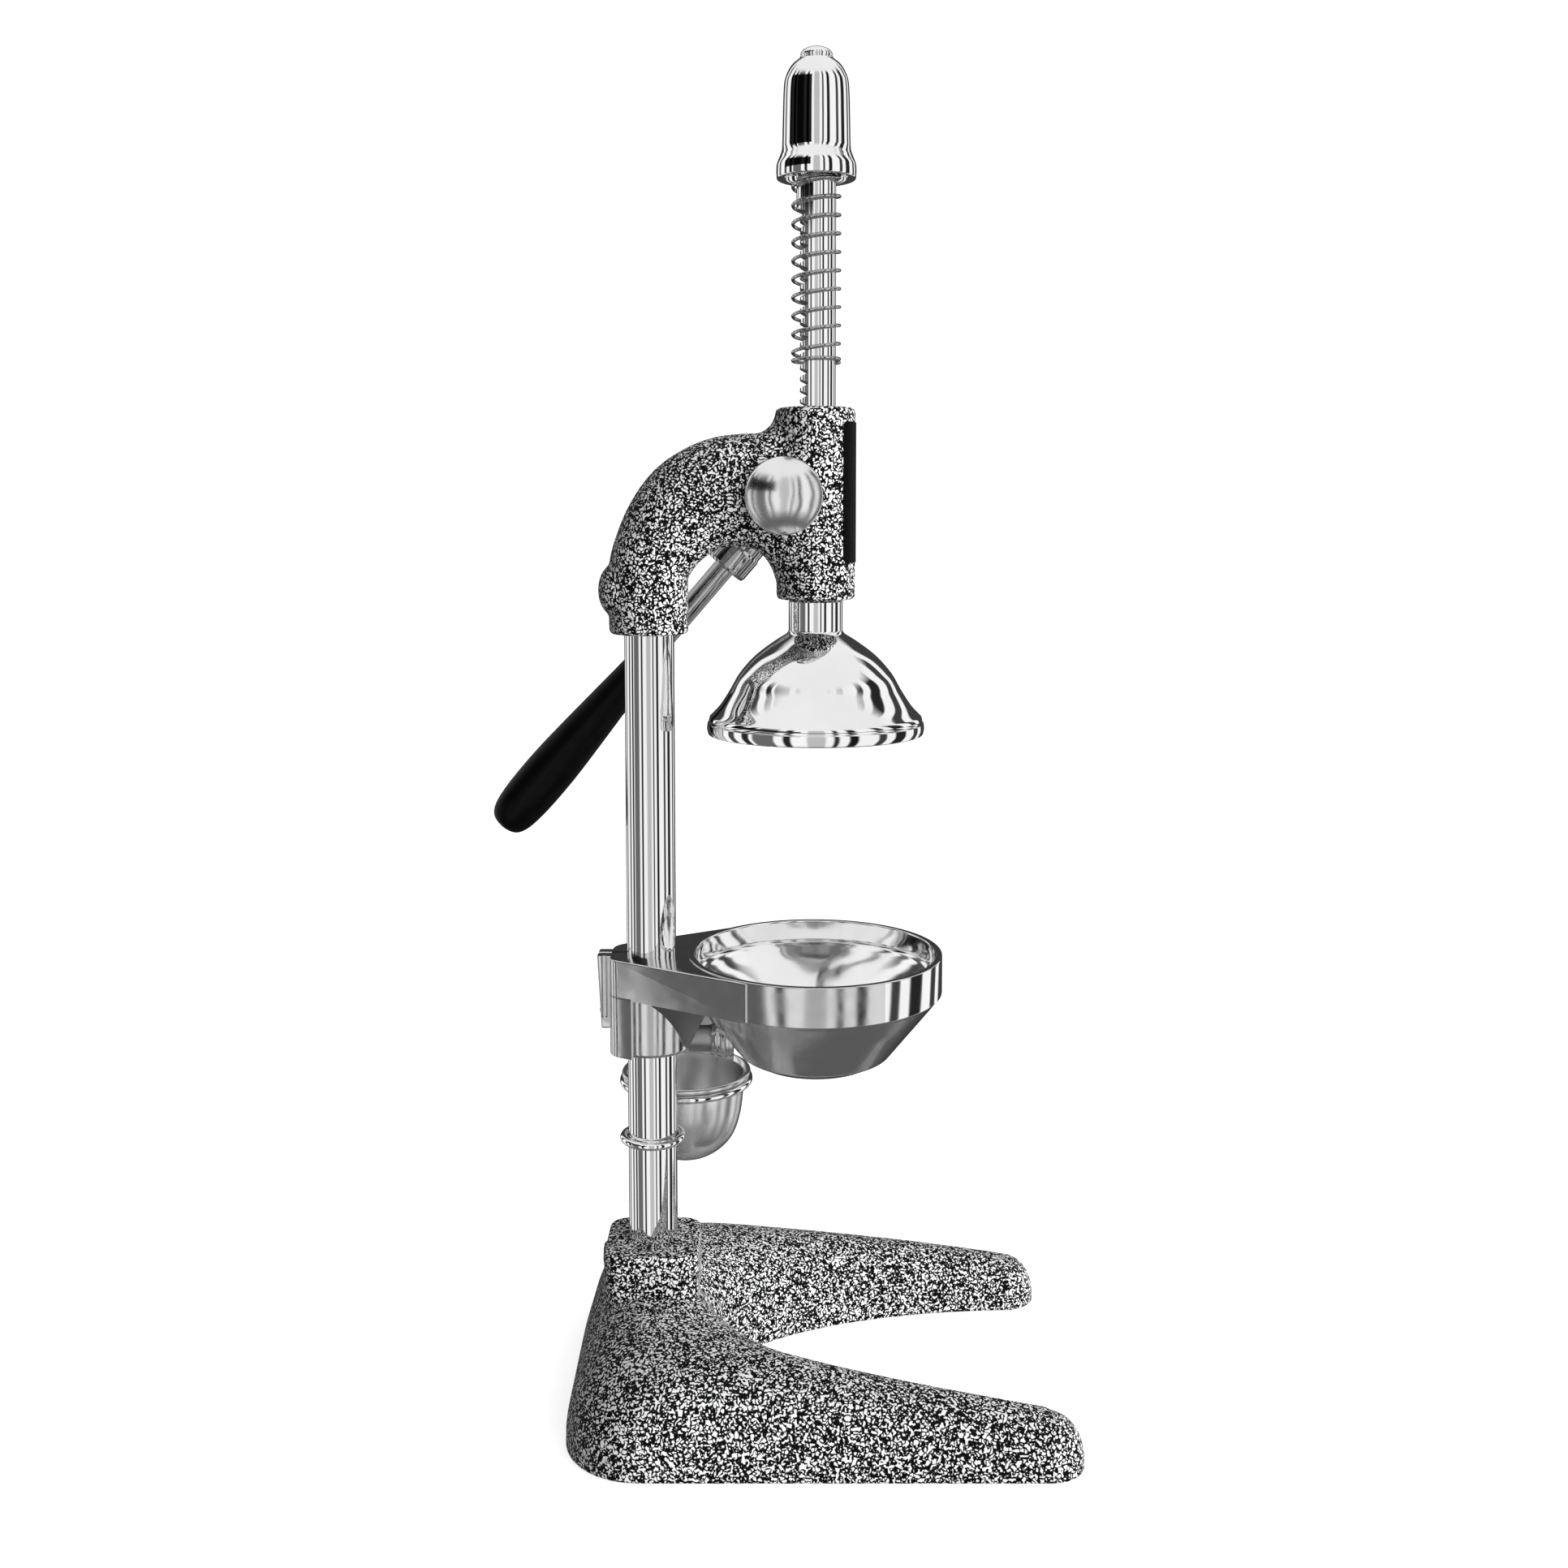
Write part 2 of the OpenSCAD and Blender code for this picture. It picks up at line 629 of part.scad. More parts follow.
// Angle in degrees from a tooth's middle to its flank, at radius r
function flank_a(r) = let (half = (rack_p / 2 - tooth_gap) / 2 / pitch_r,
        a = acos(min(1, base_circle_r / r)), inv = tan(a) - a * PI / 180,
        inv0 = tan(gear_a) - gear_a * PI / 180)
    (half + inv0 - inv) * 180 / PI;

module pinion_outline() {
    radii = [for (i = [0:5]) base_circle_r + (tip_r - base_circle_r) * i / 5];
    function at(a, r) = [r * cos(a), r * sin(a)];
    one = [for (k = [0:gear_n - 1]) let (mid = 360 * k / gear_n)
        each concat([at(mid - flank_a(base_circle_r), root_r)],
            [for (r = radii) at(mid - flank_a(r), r)],
            [for (i = [5:-1:0]) at(mid + flank_a(radii[i]), radii[i])],
            [at(mid + flank_a(base_circle_r), root_r)])];
    polygon(one);
}

module pinion_shaft() {
    color([0.75, 0.75, 0.77]) {
        on_shaft(near_y - run_gap - 0.1) cylinder(r = shaft_r, h = hub_high_y - near_y + run_gap + 0.1 - 3);
        on_shaft(near_y - 8) cylinder(r = 5, h = 9);
        on_shaft(-pinion_half_w) linear_extrude(2 * pinion_half_w) pinion_outline();
    }
}

module shaft_dome_cap() {
    skirt = 1.6;
    y0 = near_y - run_gap;
    ball_r = (dome_r * dome_r + dome_rise * dome_rise) / (2 * dome_rise);
    color([0.92, 0.92, 0.94]) difference() {
        translate([pinion_x, y0, pinion_z]) rotate([90, 0, 0]) {
            cylinder(r = dome_r, h = skirt);
            translate([0, 0, skirt]) intersection() {
                translate([0, 0, dome_rise - ball_r]) sphere(r = ball_r);
                cylinder(r = dome_r + 1, h = dome_rise + 1);
            }
        }
        on_shaft(near_y - 9) cylinder(r = 5 + seat_gap, h = 10);
        on_shaft(y0 - 0.1 - seat_gap) cylinder(r = shaft_r + seat_gap, h = 2);
    }
}

module thrust_washer() {
    color([0.6, 0.6, 0.6]) on_shaft(far_y + run_gap) tube(hub_r - 0.5, shaft_r + 0.1, 0, thrust_t);
}

module lever_hub() {
    color([0.8, 0.8, 0.82]) difference() {
        union() {
            on_shaft(hub_low_y) cylinder(r = hub_r, h = hub_high_y - hub_low_y);
            on_lever() {
                cylinder(r = lever_socket_d / 2 - 0.6, h = lever_socket_l - 1);
                translate([0, 0, lever_socket_l - 13]) cylinder(r = lever_socket_d / 2, h = 11.5);
            }
        }
        on_shaft(hub_low_y - 1) cylinder(r = shaft_r + seat_gap, h = hub_high_y - hub_low_y - 2);
        on_lever() translate([0, 0, shaft_r + 3]) cylinder(r = lever_rod_d / 2 + seat_gap, h = lever_socket_l);
        translate([pinion_x, lever_y - 26, pinion_z]) cylinder(r = set_screw_r + seat_gap, h = hub_r + 1);
    }
}

module hub_set_screw() {
    color([0.35, 0.35, 0.36]) translate([pinion_x, lever_y - 26, pinion_z + shaft_r + seat_gap]) difference() {
        cylinder(r = set_screw_r, h = hub_r - shaft_r - 0.6);
        translate([0, 0, hub_r - shaft_r - 3]) cylinder(r = 1.5, h = 4, $fn = 6);
    }
}

module lever_rod() {
    color([0.88, 0.88, 0.9]) on_lever() translate([0, 0, shaft_r + 3.2])
        cylinder(r = lever_rod_d / 2, h = grip_start + grip_l - 26 - shaft_r);
}

module lever_grip() {
    r0 = lever_rod_d / 2 + 2;
    r1 = grip_d / 2;
    steps = 10;
    body = [for (i = [0:steps]) let (t = i / steps) [r0 + (r1 - r0) * sin(90 * pow(t, 0.8)), 2 + grip_l * 0.62 * t]];
    end_r = 7;
    end = arc([r1 - 3.5 - end_r, grip_l - end_r], end_r, 10, 90, 6);
    color([0.04, 0.04, 0.04]) on_lever() translate([0, 0, grip_start]) difference() {
        rotate_extrude() polygon(concat([[0, 0], [r0 - 1, 0]], body, [[r1 - 0.4, grip_l * 0.8]], end, [[0, grip_l]]));
        translate([0, 0, -1]) cylinder(r = lever_rod_d / 2 + seat_gap, h = grip_l - 19.5);
    }
}

// ---- Bowl bracket ----

// Plan of the arm: two circles joined by their common tangents
module arm_plan(r_ring, r_col) {
    a = acos((r_ring - r_col) / press_x);
    t0 = on_circle([press_x, 0], r_ring, 180 - a);
    t1 = on_circle([0, 0], r_col, 180 - a);
    polygon([t0, t1, [t1[0], -t1[1]], [t0[0], -t0[1]]]);
    circle(r = r_col);
}

module bowl_bracket() {
    floor_in = hopper_low + bowl_wall;
    color([0.86, 0.86, 0.88]) difference() {
        union() {
            translate([press_x, 0, 0]) rotate_extrude() polygon([[0, hopper_low], [hopper_floor_r, hopper_low],
                [hopper_floor_r + 6, hopper_low + 2], [hopper_floor_r + 9, hopper_low + 4.5],
                [bowl_r, band_low], [bowl_r, bowl_top], [0, bowl_top]]);
            translate([0, 0, band_low]) linear_extrude(arm_t - 0.6) arm_plan(bowl_r - 2.4, arm_r);
            translate([0, 0, clamp_low]) cylinder(r = clamp_r, h = clamp_h);
            translate([-lug_out, -lug_half, lug_low]) cube([lug_out - clamp_r + 6, 2 * lug_half, bowl_top - 1 - lug_low]);
            translate([clamp_r - 4, 0, rib_z]) {
                rotate([0, 90, 0]) cylinder(r = rib_r, h = rib_l);
                translate([0, -rib_web / 2, 0]) cube([rib_l, rib_web, band_low - rib_z + 1]);
            }
            // Keel that tapers from the arm down to the rib, beside the clamp barrel
            hull() {
                translate([clamp_r - 4, 0, rib_z]) rotate([0, 90, 0]) cylinder(r = rib_r, h = keel_x - clamp_r + 4);
                translate([0, 0, band_low]) linear_extrude(1) polygon([[0, arm_r], [0, -arm_r],
                    [keel_x, -keel_half], [keel_x, keel_half]]);
            }
        }
        translate([press_x, 0, ledge_z]) cylinder(r = pocket_r, h = ledge_depth);
        translate([press_x, 0, pocket_top]) cylinder(r = bowl_in_r, h = ledge_depth);
        translate([press_x, 0, 0]) rotate_extrude() polygon([[0, floor_in], [hopper_floor_r + 5, floor_in],
            [body_in_r, band_low + 1], [body_in_r, ledge_z + 1], [0, ledge_z + 1]]);
        translate([press_x, 0, hopper_low - 1]) cylinder(r = outlet_r + 8, h = bowl_wall + 2);
        translate([0, 0, clamp_low - 1]) cylinder(r = column_r + seat_gap, h = clamp_h + 3);
        translate([-lug_out - 1, -slit_w / 2, clamp_low - 1]) cube([lug_out, slit_w, clamp_h + 3]);
        for (z = clamp_bolt_z) translate([clamp_bolt_x, clamp_bolt_end - run_gap, z]) rotate([-90, 0, 0])
            cylinder(r = clamp_bolt_r + seat_gap, h = 2 * lug_half);
    }
}

module bracket_clamp_bolts() {
    color([0.7, 0.7, 0.72]) for (z = clamp_bolt_z) translate([clamp_bolt_x, lug_half, z]) rotate([-90, 0, 0]) {
        translate([0, 0, clamp_bolt_end - lug_half]) cylinder(r = clamp_bolt_r, h = lug_half - clamp_bolt_end);
        difference() {
            cylinder(r = clamp_bolt_head_r, h = clamp_bolt_head);
            translate([0, 0, 1]) cylinder(r = 1.5, h = 4, $fn = 6);
        }
    }
}

module bowl_funnel() {
    w = funnel_wall;
    r_top = pocket_r - 0.3;
    z_top = funnel_top;
    r_dish = body_in_r - 1;
    z_neck = hopper_low + bowl_wall + 12;
    upper = [[r_dish, z_top], [r_dish * 0.78, z_top - 11], [outlet_r + 8, z_neck + 3.5], [outlet_r, z_neck]];
    lower = [[outlet_r + w, z_neck - w * 0.6], [outlet_r + 8, z_neck + 3.5 - w], [r_dish * 0.78 + w, z_top - 11 - w],
        [r_dish, z_top - w]];
    color([0.84, 0.84, 0.86]) translate([press_x, 0, 0]) rotate_extrude()
        polygon(concat([[r_top, z_top - w], [r_top, z_top]], upper,
            [[outlet_r, hopper_low + 0.8], [outlet_r + w, hopper_low + 0.8]], lower));
}

// ---- Drip cup ----

module wire_between(a, b) {
    d = b - a;
    translate(a) rotate([0, acos(d[2] / norm(d)), atan2(d[1], d[0])]) cylinder(r = wire_r, h = norm(d), $fn = 32);
}

module drip_ring() {
    link_a = [loop_r, 0, loop_h];
    link_b = [cup_reach - ring_r, 0, ring_z];
    color([0.85, 0.85, 0.87]) rotate([0, 0, cup_turn]) {
        translate([0, 0, loop_h]) rotate_extrude() translate([loop_r, 0]) circle(r = wire_r, $fn = 32);
        translate([cup_reach, 0, ring_z]) rotate_extrude() translate([ring_r, 0]) circle(r = wire_r, $fn = 32);
        wire_between(link_a, link_b);
    }
}

module drip_cup() {
    lip = 1.5;
    h = cup_top - cup_low;
    r = cup_body_r;
    w = cup_wall;
    outer = [[0, 0], [r * 0.34, 0], [r * 0.5, 0.06 * h], [r * 0.74, 0.17 * h], [r * 0.88, 0.31 * h],
        [r * 0.97, 0.54 * h], [r, 0.7 * h], [r, h - 2 * lip]];
    inner = [[r - w, h], [r - w, 0.7 * h], [r * 0.97 - w, 0.54 * h], [r * 0.88 - w, 0.31 * h + 0.4],
        [r * 0.74 - w, 0.17 * h + 0.8], [r * 0.5 - w, 0.06 * h + w], [r * 0.34, w], [0, w]];
    color([0.88, 0.88, 0.9]) translate([cup_c[0], cup_c[1], cup_low]) rotate_extrude()
        polygon(concat(outer, [[cup_rim_r - lip, h - 2 * lip]],
            arc([cup_rim_r - lip, h - lip], lip, -90, 90, 6), inner));
}

base_casting();
base_soles();
column_tube();
column_foot_plug();
column_bolt();
column_bolt_washer();
base_set_screw();
head_casting();
head_set_screw();
barrel_bush_top();
barrel_bush_bottom();
pinion_bush_near();
pinion_bush_far();
front_nameplate();
bowl_bracket();
bracket_clamp_bolts();
bowl_funnel();
rack_rod();
press_bell();
bell_screw();
spring_cap();
cap_nut();
spring_seat_washer();
return_spring();
pinion_shaft();
shaft_dome_cap();
thrust_washer();
lever_hub();
hub_set_screw();
lever_rod();
lever_grip();
drip_ring();
drip_cup();
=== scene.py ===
"""Looks of the hand-lever citrus press: finishes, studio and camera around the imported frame.

Lengths are in millimetres and are turned into metres with MM; finishes and area lights are set in metres.
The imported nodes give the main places: the column stands on the origin, and the press axis, the pinion
axis and the ends of most pieces are read from them.
"""

import math

import bmesh
import bpy
from mathutils import Matrix, Vector


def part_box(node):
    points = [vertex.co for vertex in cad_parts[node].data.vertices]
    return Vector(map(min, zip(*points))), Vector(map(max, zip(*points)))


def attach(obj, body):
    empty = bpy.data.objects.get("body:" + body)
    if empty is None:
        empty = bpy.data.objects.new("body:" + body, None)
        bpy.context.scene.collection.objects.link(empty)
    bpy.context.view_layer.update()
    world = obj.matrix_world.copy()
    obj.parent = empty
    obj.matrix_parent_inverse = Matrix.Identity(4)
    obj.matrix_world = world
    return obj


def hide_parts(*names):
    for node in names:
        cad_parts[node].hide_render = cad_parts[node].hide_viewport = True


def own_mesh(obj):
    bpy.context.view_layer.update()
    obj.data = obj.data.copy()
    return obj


MM = 0.001
QUARTER = math.pi / 2
X_AXIS = Vector((1, 0, 0))
Y_AXIS = Vector((0, 1, 0))

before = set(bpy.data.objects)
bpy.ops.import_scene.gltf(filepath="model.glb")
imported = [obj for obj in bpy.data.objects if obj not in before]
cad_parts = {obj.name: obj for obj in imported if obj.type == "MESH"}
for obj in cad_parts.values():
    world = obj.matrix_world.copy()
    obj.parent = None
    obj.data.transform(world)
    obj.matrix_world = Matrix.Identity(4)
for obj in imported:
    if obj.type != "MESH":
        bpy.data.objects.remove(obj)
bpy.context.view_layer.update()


# -------- places, read from the frame (mm)

def node_box(name):
    """Lowest and highest corner of a CAD node in millimetres."""
    low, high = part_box(name)
    return low / MM, high / MM


def centre_of(name):
    """Middle of a CAD node's box in millimetres."""
    low, high = node_box(name)
    return (low + high) / 2


def radius_of(name):
    """Half of a CAD node's size along X."""
    low, high = node_box(name)
    return (high.x - low.x) / 2


COLUMN_R = radius_of("column_tube")
PRESS_X = centre_of("press_bell").x
PINION = Vector((centre_of("shaft_dome_cap").x, 0, centre_of("shaft_dome_cap").z))
BUSH_SET_BACK = 0.4
BARREL_LOW = node_box("barrel_bush_bottom")[0].z - BUSH_SET_BACK
BARREL_TOP = node_box("barrel_bush_top")[1].z + BUSH_SET_BACK
HEAD_LOW = node_box("head_casting")[0].z
BASE_LOW, BASE_HIGH = node_box("base_casting")


# -------- mesh helpers

def in_scene(name, data):
    """A new object in the scene."""
    obj = bpy.data.objects.new(name, data)
    bpy.context.scene.collection.objects.link(obj)
    return obj


def object_from(name, bm):
    """A mesh object from a bmesh in the same unit."""
    mesh = bpy.data.meshes.new(name)
    bm.to_mesh(mesh)
    bm.free()
    return in_scene(name, mesh)


def new_object(name, bm, smooth=True, sharp_deg=None):
    """A mesh object, in metres, from a bmesh in millimetres."""
    bmesh.ops.recalc_face_normals(bm, faces=bm.faces)
    obj = object_from(name, bm)
    obj.data.transform(Matrix.Scale(MM, 4))
    for face in obj.data.polygons:
        face.use_smooth = smooth
    if sharp_deg is not None:
        sharpened(obj, sharp_deg)
    return obj


def sharpened(obj, degrees):
    """Marks the edges that turn by more than an angle as sharp."""
    obj.data.set_sharp_from_angle(angle=math.radians(degrees))
    return obj


def finish_piece(obj, body, material, slot, *nodes):
    """Gives a piece its finish and body, and hides the CAD nodes that it stands for; the slot is not used.
    """
    obj.data.materials.clear()
    obj.data.materials.append(material)
    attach(obj, body)
    if nodes:
        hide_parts(*nodes)
    return obj


def rounded(points, steps=6):
    """An outline from corners (a, b, radius): each corner with a radius becomes an arc."""
    out = []
    count = len(points)
    for i, (a, b, r) in enumerate(points):
        here = Vector((a, b))
        if r <= 0:
            out.append(here)
            continue
        before = Vector(points[i - 1][:2]) - here
        after = Vector(points[(i + 1) % count][:2]) - here
        half = before.angle(after) / 2
        cut = min(r / math.tan(half), before.length * 0.49, after.length * 0.49)
        r = cut * math.tan(half)
        middle = here + (before.normalized() + after.normalized()).normalized() * (r / math.sin(half))
        start = here + before.normalized() * cut - middle
        end = here + after.normalized() * cut - middle
        turn = start.angle_signed(end)
        for k in range(steps + 1):
            out.append(middle + Matrix.Rotation(-turn * k / steps, 2) @ start)
    return out


def smooth_curve(points, steps=8):
    """A Catmull-Rom curve through points."""
    out = []
    pts = [Vector(p) for p in points]
    pts = [2 * pts[0] - pts[1]] + pts + [2 * pts[-1] - pts[-2]]
    for a, b, c, d in zip(pts, pts[1:], pts[2:], pts[3:]):
        for k in range(steps):
            t = k / steps
            out.append(0.5 * ((2 * b) + (c - a) * t + (2 * a - 5 * b + 4 * c - d) * t * t
                + (3 * b - a - 3 * c + d) * t ** 3))
    out.append(pts[-2])
    return out


def spread(start, end, steps):
    """Evenly spaced values from start to end, both of them included."""
    return [start + (end - start) * k / steps for k in range(steps + 1)]


def full_turn(count):
    """Evenly spaced angles round a full turn."""
    return spread(0, 2 * math.pi, count)[:-1]


def bridge(bm, rows, closed=True):
    """Faces between neighbouring rows of vertices, each row a ring or, if not closed, a strip."""
    for one, two in zip(rows, rows[1:]):
        count = len(one)
        for k in range(count if closed else count - 1):
            n = (k + 1) % count
            bm.faces.new([one[k], one[n], two[n], two[k]])


def lathe(name, outline, place=(0, 0, 0), axis=None, segments=128):
    """Turns an outline of (radius, height) points about an axis, in millimetres."""
    bm = bmesh.new()
    rings = []
    for p in outline:
        if abs(p[0]) < 1e-6:
            rings.append([bm.verts.new((0, 0, p[1]))] * segments)
            continue
        rings.append([
            bm.verts.new((p[0] * math.cos(a), p[0] * math.sin(a), p[1]))
            for a in full_turn(segments)
        ])
    for one, two in zip(rings, rings[1:] + rings[:1]):
        for k in range(segments):
            n = (k + 1) % segments
            corners = list(dict.fromkeys([one[k], one[n], two[n], two[k]]))
            if len(corners) > 2:
                bm.faces.new(corners)
    turn = axis.to_track_quat("Z", "Y").to_matrix().to_4x4() if axis else Matrix.Identity(4)
    bmesh.ops.transform(bm, matrix=Matrix.Translation(place) @ turn, verts=bm.verts)
    return new_object(name, bm)


def block(name, low, high):
    """A plain box between two corners, in millimetres."""
    bm = bmesh.new()
    bmesh.ops.create_cube(bm, size=1)
    low, high = Vector(low), Vector(high)
    for v in bm.verts:
        v.co = Vector(a + (c + 0.5) * (b - a) for a, b, c in zip(low, high, v.co))
    return new_object(name, bm, smooth=False)


def swept(name, path, radius, sides=16, closed=False):
    """A round wire along a path of points, in millimetres, with flat ends where it is open."""
    bm = bmesh.new()
    count = len(path)
    points = [Vector(p) for p in path]
    rings = []
    side = None
    for i, p in enumerate(points):
        ahead = points[(i + 1) % count] if closed or i < count - 1 else p
        behind = points[i - 1] if closed or i > 0 else p
        along = (ahead - behind).normalized()
        if side is None:
            side = along.orthogonal().normalized()
        side = (side - along * side.dot(along)).normalized()
        up = along.cross(side)
        rings.append([
            bm.verts.new(p + (side * math.cos(a) + up * math.sin(a)) * radius)
            for a in full_turn(sides)
        ])
    bridge(bm, rings + rings[:1] if closed else rings)
    if not closed:
        bm.faces.new(rings[0])
        bm.faces.new(rings[-1])
    return new_object(name, bm)


def apply_modifiers(obj):
    """Replaces a mesh by what its modifiers make of it."""
    graph = bpy.context.evaluated_depsgraph_get()
    made = bpy.data.meshes.new_from_object(obj.evaluated_get(graph))
    obj.modifiers.clear()
    obj.data = made
    return obj


def joined(name, objects):
    """One object from several."""
    bm = bmesh.new()
    for o in objects:
        bm.from_mesh(o.data)
        bpy.data.objects.remove(o)
    return object_from(name, bm)


def cast(obj, voxel, rounds):
    """Melts overlapping forms into one cast skin: remeshed, then smoothed in rounds."""
    remesh = obj.modifiers.new("remesh", "REMESH")
    remesh.mode = "VOXEL"
    remesh.voxel_size = voxel * MM
    smooth = obj.modifiers.new("smooth", "SMOOTH")
    smooth.factor = 0.5
    smooth.iterations = rounds
    apply_modifiers(obj)
    for face in obj.data.polygons:
        face.use_smooth = True
    return obj


def bored(obj, cutters):
    """Cuts the cutters' volumes out of a piece."""
    for c in cutters:
        cut = obj.modifiers.new("cut", "BOOLEAN")
        cut.operation = "DIFFERENCE"
        cut.solver = "EXACT"
        cut.object = c
    apply_modifiers(obj)
    for c in cutters:
        bpy.data.objects.remove(c)
    return obj


def fitted(obj, node, axes="xyz"):
    """Stretches a cast skin back to its node's box, which the smoothing has left a little slack."""
    low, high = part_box(node)
    points = [v.co for v in obj.data.vertices]
    for k in ("xyz".index(a) for a in axes):
        start, end = min(p[k] for p in points), max(p[k] for p in points)
        for p in points:
            p[k] = low[k] + (p[k] - start) * (high[k] - low[k]) / (end - start)
    return obj


# -------- materials

def node_material(name):
    """A new material, its node tree and its shader."""
    material = bpy.data.materials.new(name)
    material.use_nodes = True
    tree = material.node_tree
    return material, tree, tree.nodes["Principled BSDF"]


def set_inputs(node, values):
    """Sets a node's inputs by their names."""
    for name, value in values.items():
        node.inputs[name].default_value = value


def mapped_noise(tree, scale, detail, stretch=(1, 1, 1), distortion=0.0):
    """Noise fixed to the piece, with scale in features per metre."""
    place = tree.nodes.new("ShaderNodeTexCoord")
    mapping = tree.nodes.new("ShaderNodeMapping")
    mapping.inputs["Scale"].default_value = stretch
    noise = tree.nodes.new("ShaderNodeTexNoise")
    set_inputs(noise, {"Scale": scale, "Detail": detail, "Distortion": distortion})
    tree.links.new(place.outputs["Object"], mapping.inputs["Vector"])
    tree.links.new(mapping.outputs["Vector"], noise.inputs["Vector"])
    return noise.outputs["Fac"]


def grey(value):
    """A grey as a colour."""
    return (value,) * 3 + (1,)


def ramp(tree, source, stops, target=None):
    """A colour ramp with grey stops of (position, value), led to a target socket if there is one."""
    node = tree.nodes.new("ShaderNodeValToRGB")
    first, second = node.color_ramp.elements
    first.position, second.position = stops[0][0], stops[-1][0]
    first.color = grey(stops[0][1])
    second.color = grey(stops[-1][1])
    for position, value in stops[1:-1]:
        node.color_ramp.elements.new(position).color = grey(value)
    tree.links.new(source, node.inputs["Fac"])
    if target:
        tree.links.new(node.outputs["Color"], target)
    return node.outputs["Color"]


def bumped(tree, height, strength, distance, normal=None):
    """A bump from a height socket, on top of another bump's normal if there is one."""
    bump = tree.nodes.new("ShaderNodeBump")
    set_inputs(bump, {"Strength": strength, "Distance": distance})
    tree.links.new(height, bump.inputs["Height"])
    if normal:
        tree.links.new(normal, bump.inputs["Normal"])
    return bump.outputs["Normal"]


def calculated(tree, operation, *values):
    """A math node's result, from values that are each a number or a socket."""
    node = tree.nodes.new("ShaderNodeMath")
    node.operation = operation
    for k, value in enumerate(values):
        if isinstance(value, (int, float)):
            node.inputs[k].default_value = value
        else:
            tree.links.new(value, node.inputs[k])
    return node.outputs["Value"]


def metal(name, tone, rough, smear=0.03, ripple=0.02, ripple_scale=60, stretch=(1, 1, 1), scratch=0.0):
    """Plated or polished metal: slight tone and roughness changes, and a faint ripple from polishing."""
    material, tree, shader = node_material(name)
    shader.inputs["Metallic"].default_value = 1.0
    cloud = mapped_noise(tree, 35, 3, stretch)
    ramp(tree, cloud, [(0.3, tone * 0.93), (0.7, tone)], shader.inputs["Base Color"])
    rub = mapped_noise(tree, 160, 4, stretch)
    ramp(tree, rub, [(0.35, rough), (0.75, rough + smear)], shader.inputs["Roughness"])
    wave = mapped_noise(tree, ripple_scale, 1, stretch)
    normal = bumped(tree, wave, ripple, 0.002)
    if scratch:
        line = mapped_noise(tree, 900, 2, (1, 1, 0.02))
        normal = bumped(tree, line, scratch, 0.0001, normal)
    tree.links.new(normal, shader.inputs["Normal"])
    return material


def hammertone():
    """Silver hammertone paint: bright worm-like islands in a black network of fine grooves."""
    material, tree, shader = node_material("hammertone")
    worm = mapped_noise(tree, 570, 0.8, distortion=0.3)
    # folded about its middle, the noise is lowest along winding lines, which become the grooves
    fold = calculated(tree, "ABSOLUTE", calculated(tree, "SUBTRACT", worm, 0.5))
    groove, island = 0.084, 0.117
    shade = ramp(tree, fold, [(groove, 0.001), (island, 1.0)], shader.inputs["Base Color"])
    ramp(tree, fold, [(groove, 0.0), (island, 0.03)], shader.inputs["Metallic"])
    ramp(tree, fold, [(groove, 0.5), (island, 0.34)], shader.inputs["Roughness"])
    set_inputs(shader, {"Specular IOR Level": 0.1, "Coat Weight": 0.02, "Coat Roughness": 0.2})
    tree.links.new(bumped(tree, shade, 0.6, 0.0005), shader.inputs["Normal"])
    return material


def plain_coat(name, low, high, rough, scale, bump_size, specular=0.5):
    """Moulded plastic, rubber or enamel: mottled colour, uneven gloss and a fine grain."""
    material, tree, shader = node_material(name)
    cloud = mapped_noise(tree, scale * 0.2, 3)
    ramp(tree, cloud, [(0.3, low), (0.7, high)], shader.inputs["Base Color"])
    grain = mapped_noise(tree, scale, 3)
    ramp(tree, grain, [(0.3, rough - 0.05), (0.7, rough + 0.05)], shader.inputs["Roughness"])
    shader.inputs["Specular IOR Level"].default_value = specular
    tree.links.new(bumped(tree, grain, 0.3, bump_size), shader.inputs["Normal"])
    return material


def bronze():
    """Bush metal: the turned finish in a warm colour."""
    material = metal("bronze", 0.6, 0.25, 0.1)
    shade = next(n for n in material.node_tree.nodes if n.type == "VALTORGB")
    shade.color_ramp.elements[0].color = (0.42, 0.25, 0.09, 1)
    shade.color_ramp.elements[1].color = (0.58, 0.38, 0.16, 1)
    return material


M_HAMMER = hammertone()
M_CHROME = metal("chrome", 0.94, 0.03, 0.03, 0.02)
M_COLUMN = metal("column_chrome", 0.93, 0.01, 0.02, 0.012, 40, (1, 1, 0.1))
M_POLISHED = metal("polished_casting", 0.7, 0.13, 0.08, 0.2, 38)
M_RING = metal("turned_ring", 0.93, 0.05, 0.03, 0.02)
M_FUNNEL = metal("funnel_polish", 0.96, 0.09, 0.05, 0.4, 34)
# a darker, rougher copy of the polished casting: painted shade for the rib, web and gusset under the arm
M_CASTING_PAINTED_SHADE = metal("casting_painted_shade", 0.42, 0.32, 0.06, 0.04, 60)
M_DOME = metal("dome_chrome", 0.9, 0.19, 0.05, 0.35, 70)
M_CUP = metal("cup_steel", 0.9, 0.24, 0.03, 0.02, 40)
# a darker copy of the chrome: painted shade on the lever's hub and rod
M_LEVER_PAINTED_SHADE = metal("lever_chrome_painted_shade", 0.55, 0.07, 0.04, 0.03)
M_SPRING = metal("spring_wire", 0.5, 0.1, 0.06)
M_STEEL = metal("turned_steel", 0.6, 0.25, 0.1, scratch=0.2)
M_ZINC = metal("zinc_steel", 0.62, 0.3, 0.1)
M_BLACK_STEEL = metal("black_steel", 0.08, 0.35, 0.1)
M_BRONZE = bronze()
M_GRIP = plain_coat("black_grip", 0.001, 0.003, 0.34, 900, 0.00005, 0.1)
M_RUBBER = plain_coat("rubber", 0.012, 0.02, 0.75, 1200, 0.0001)
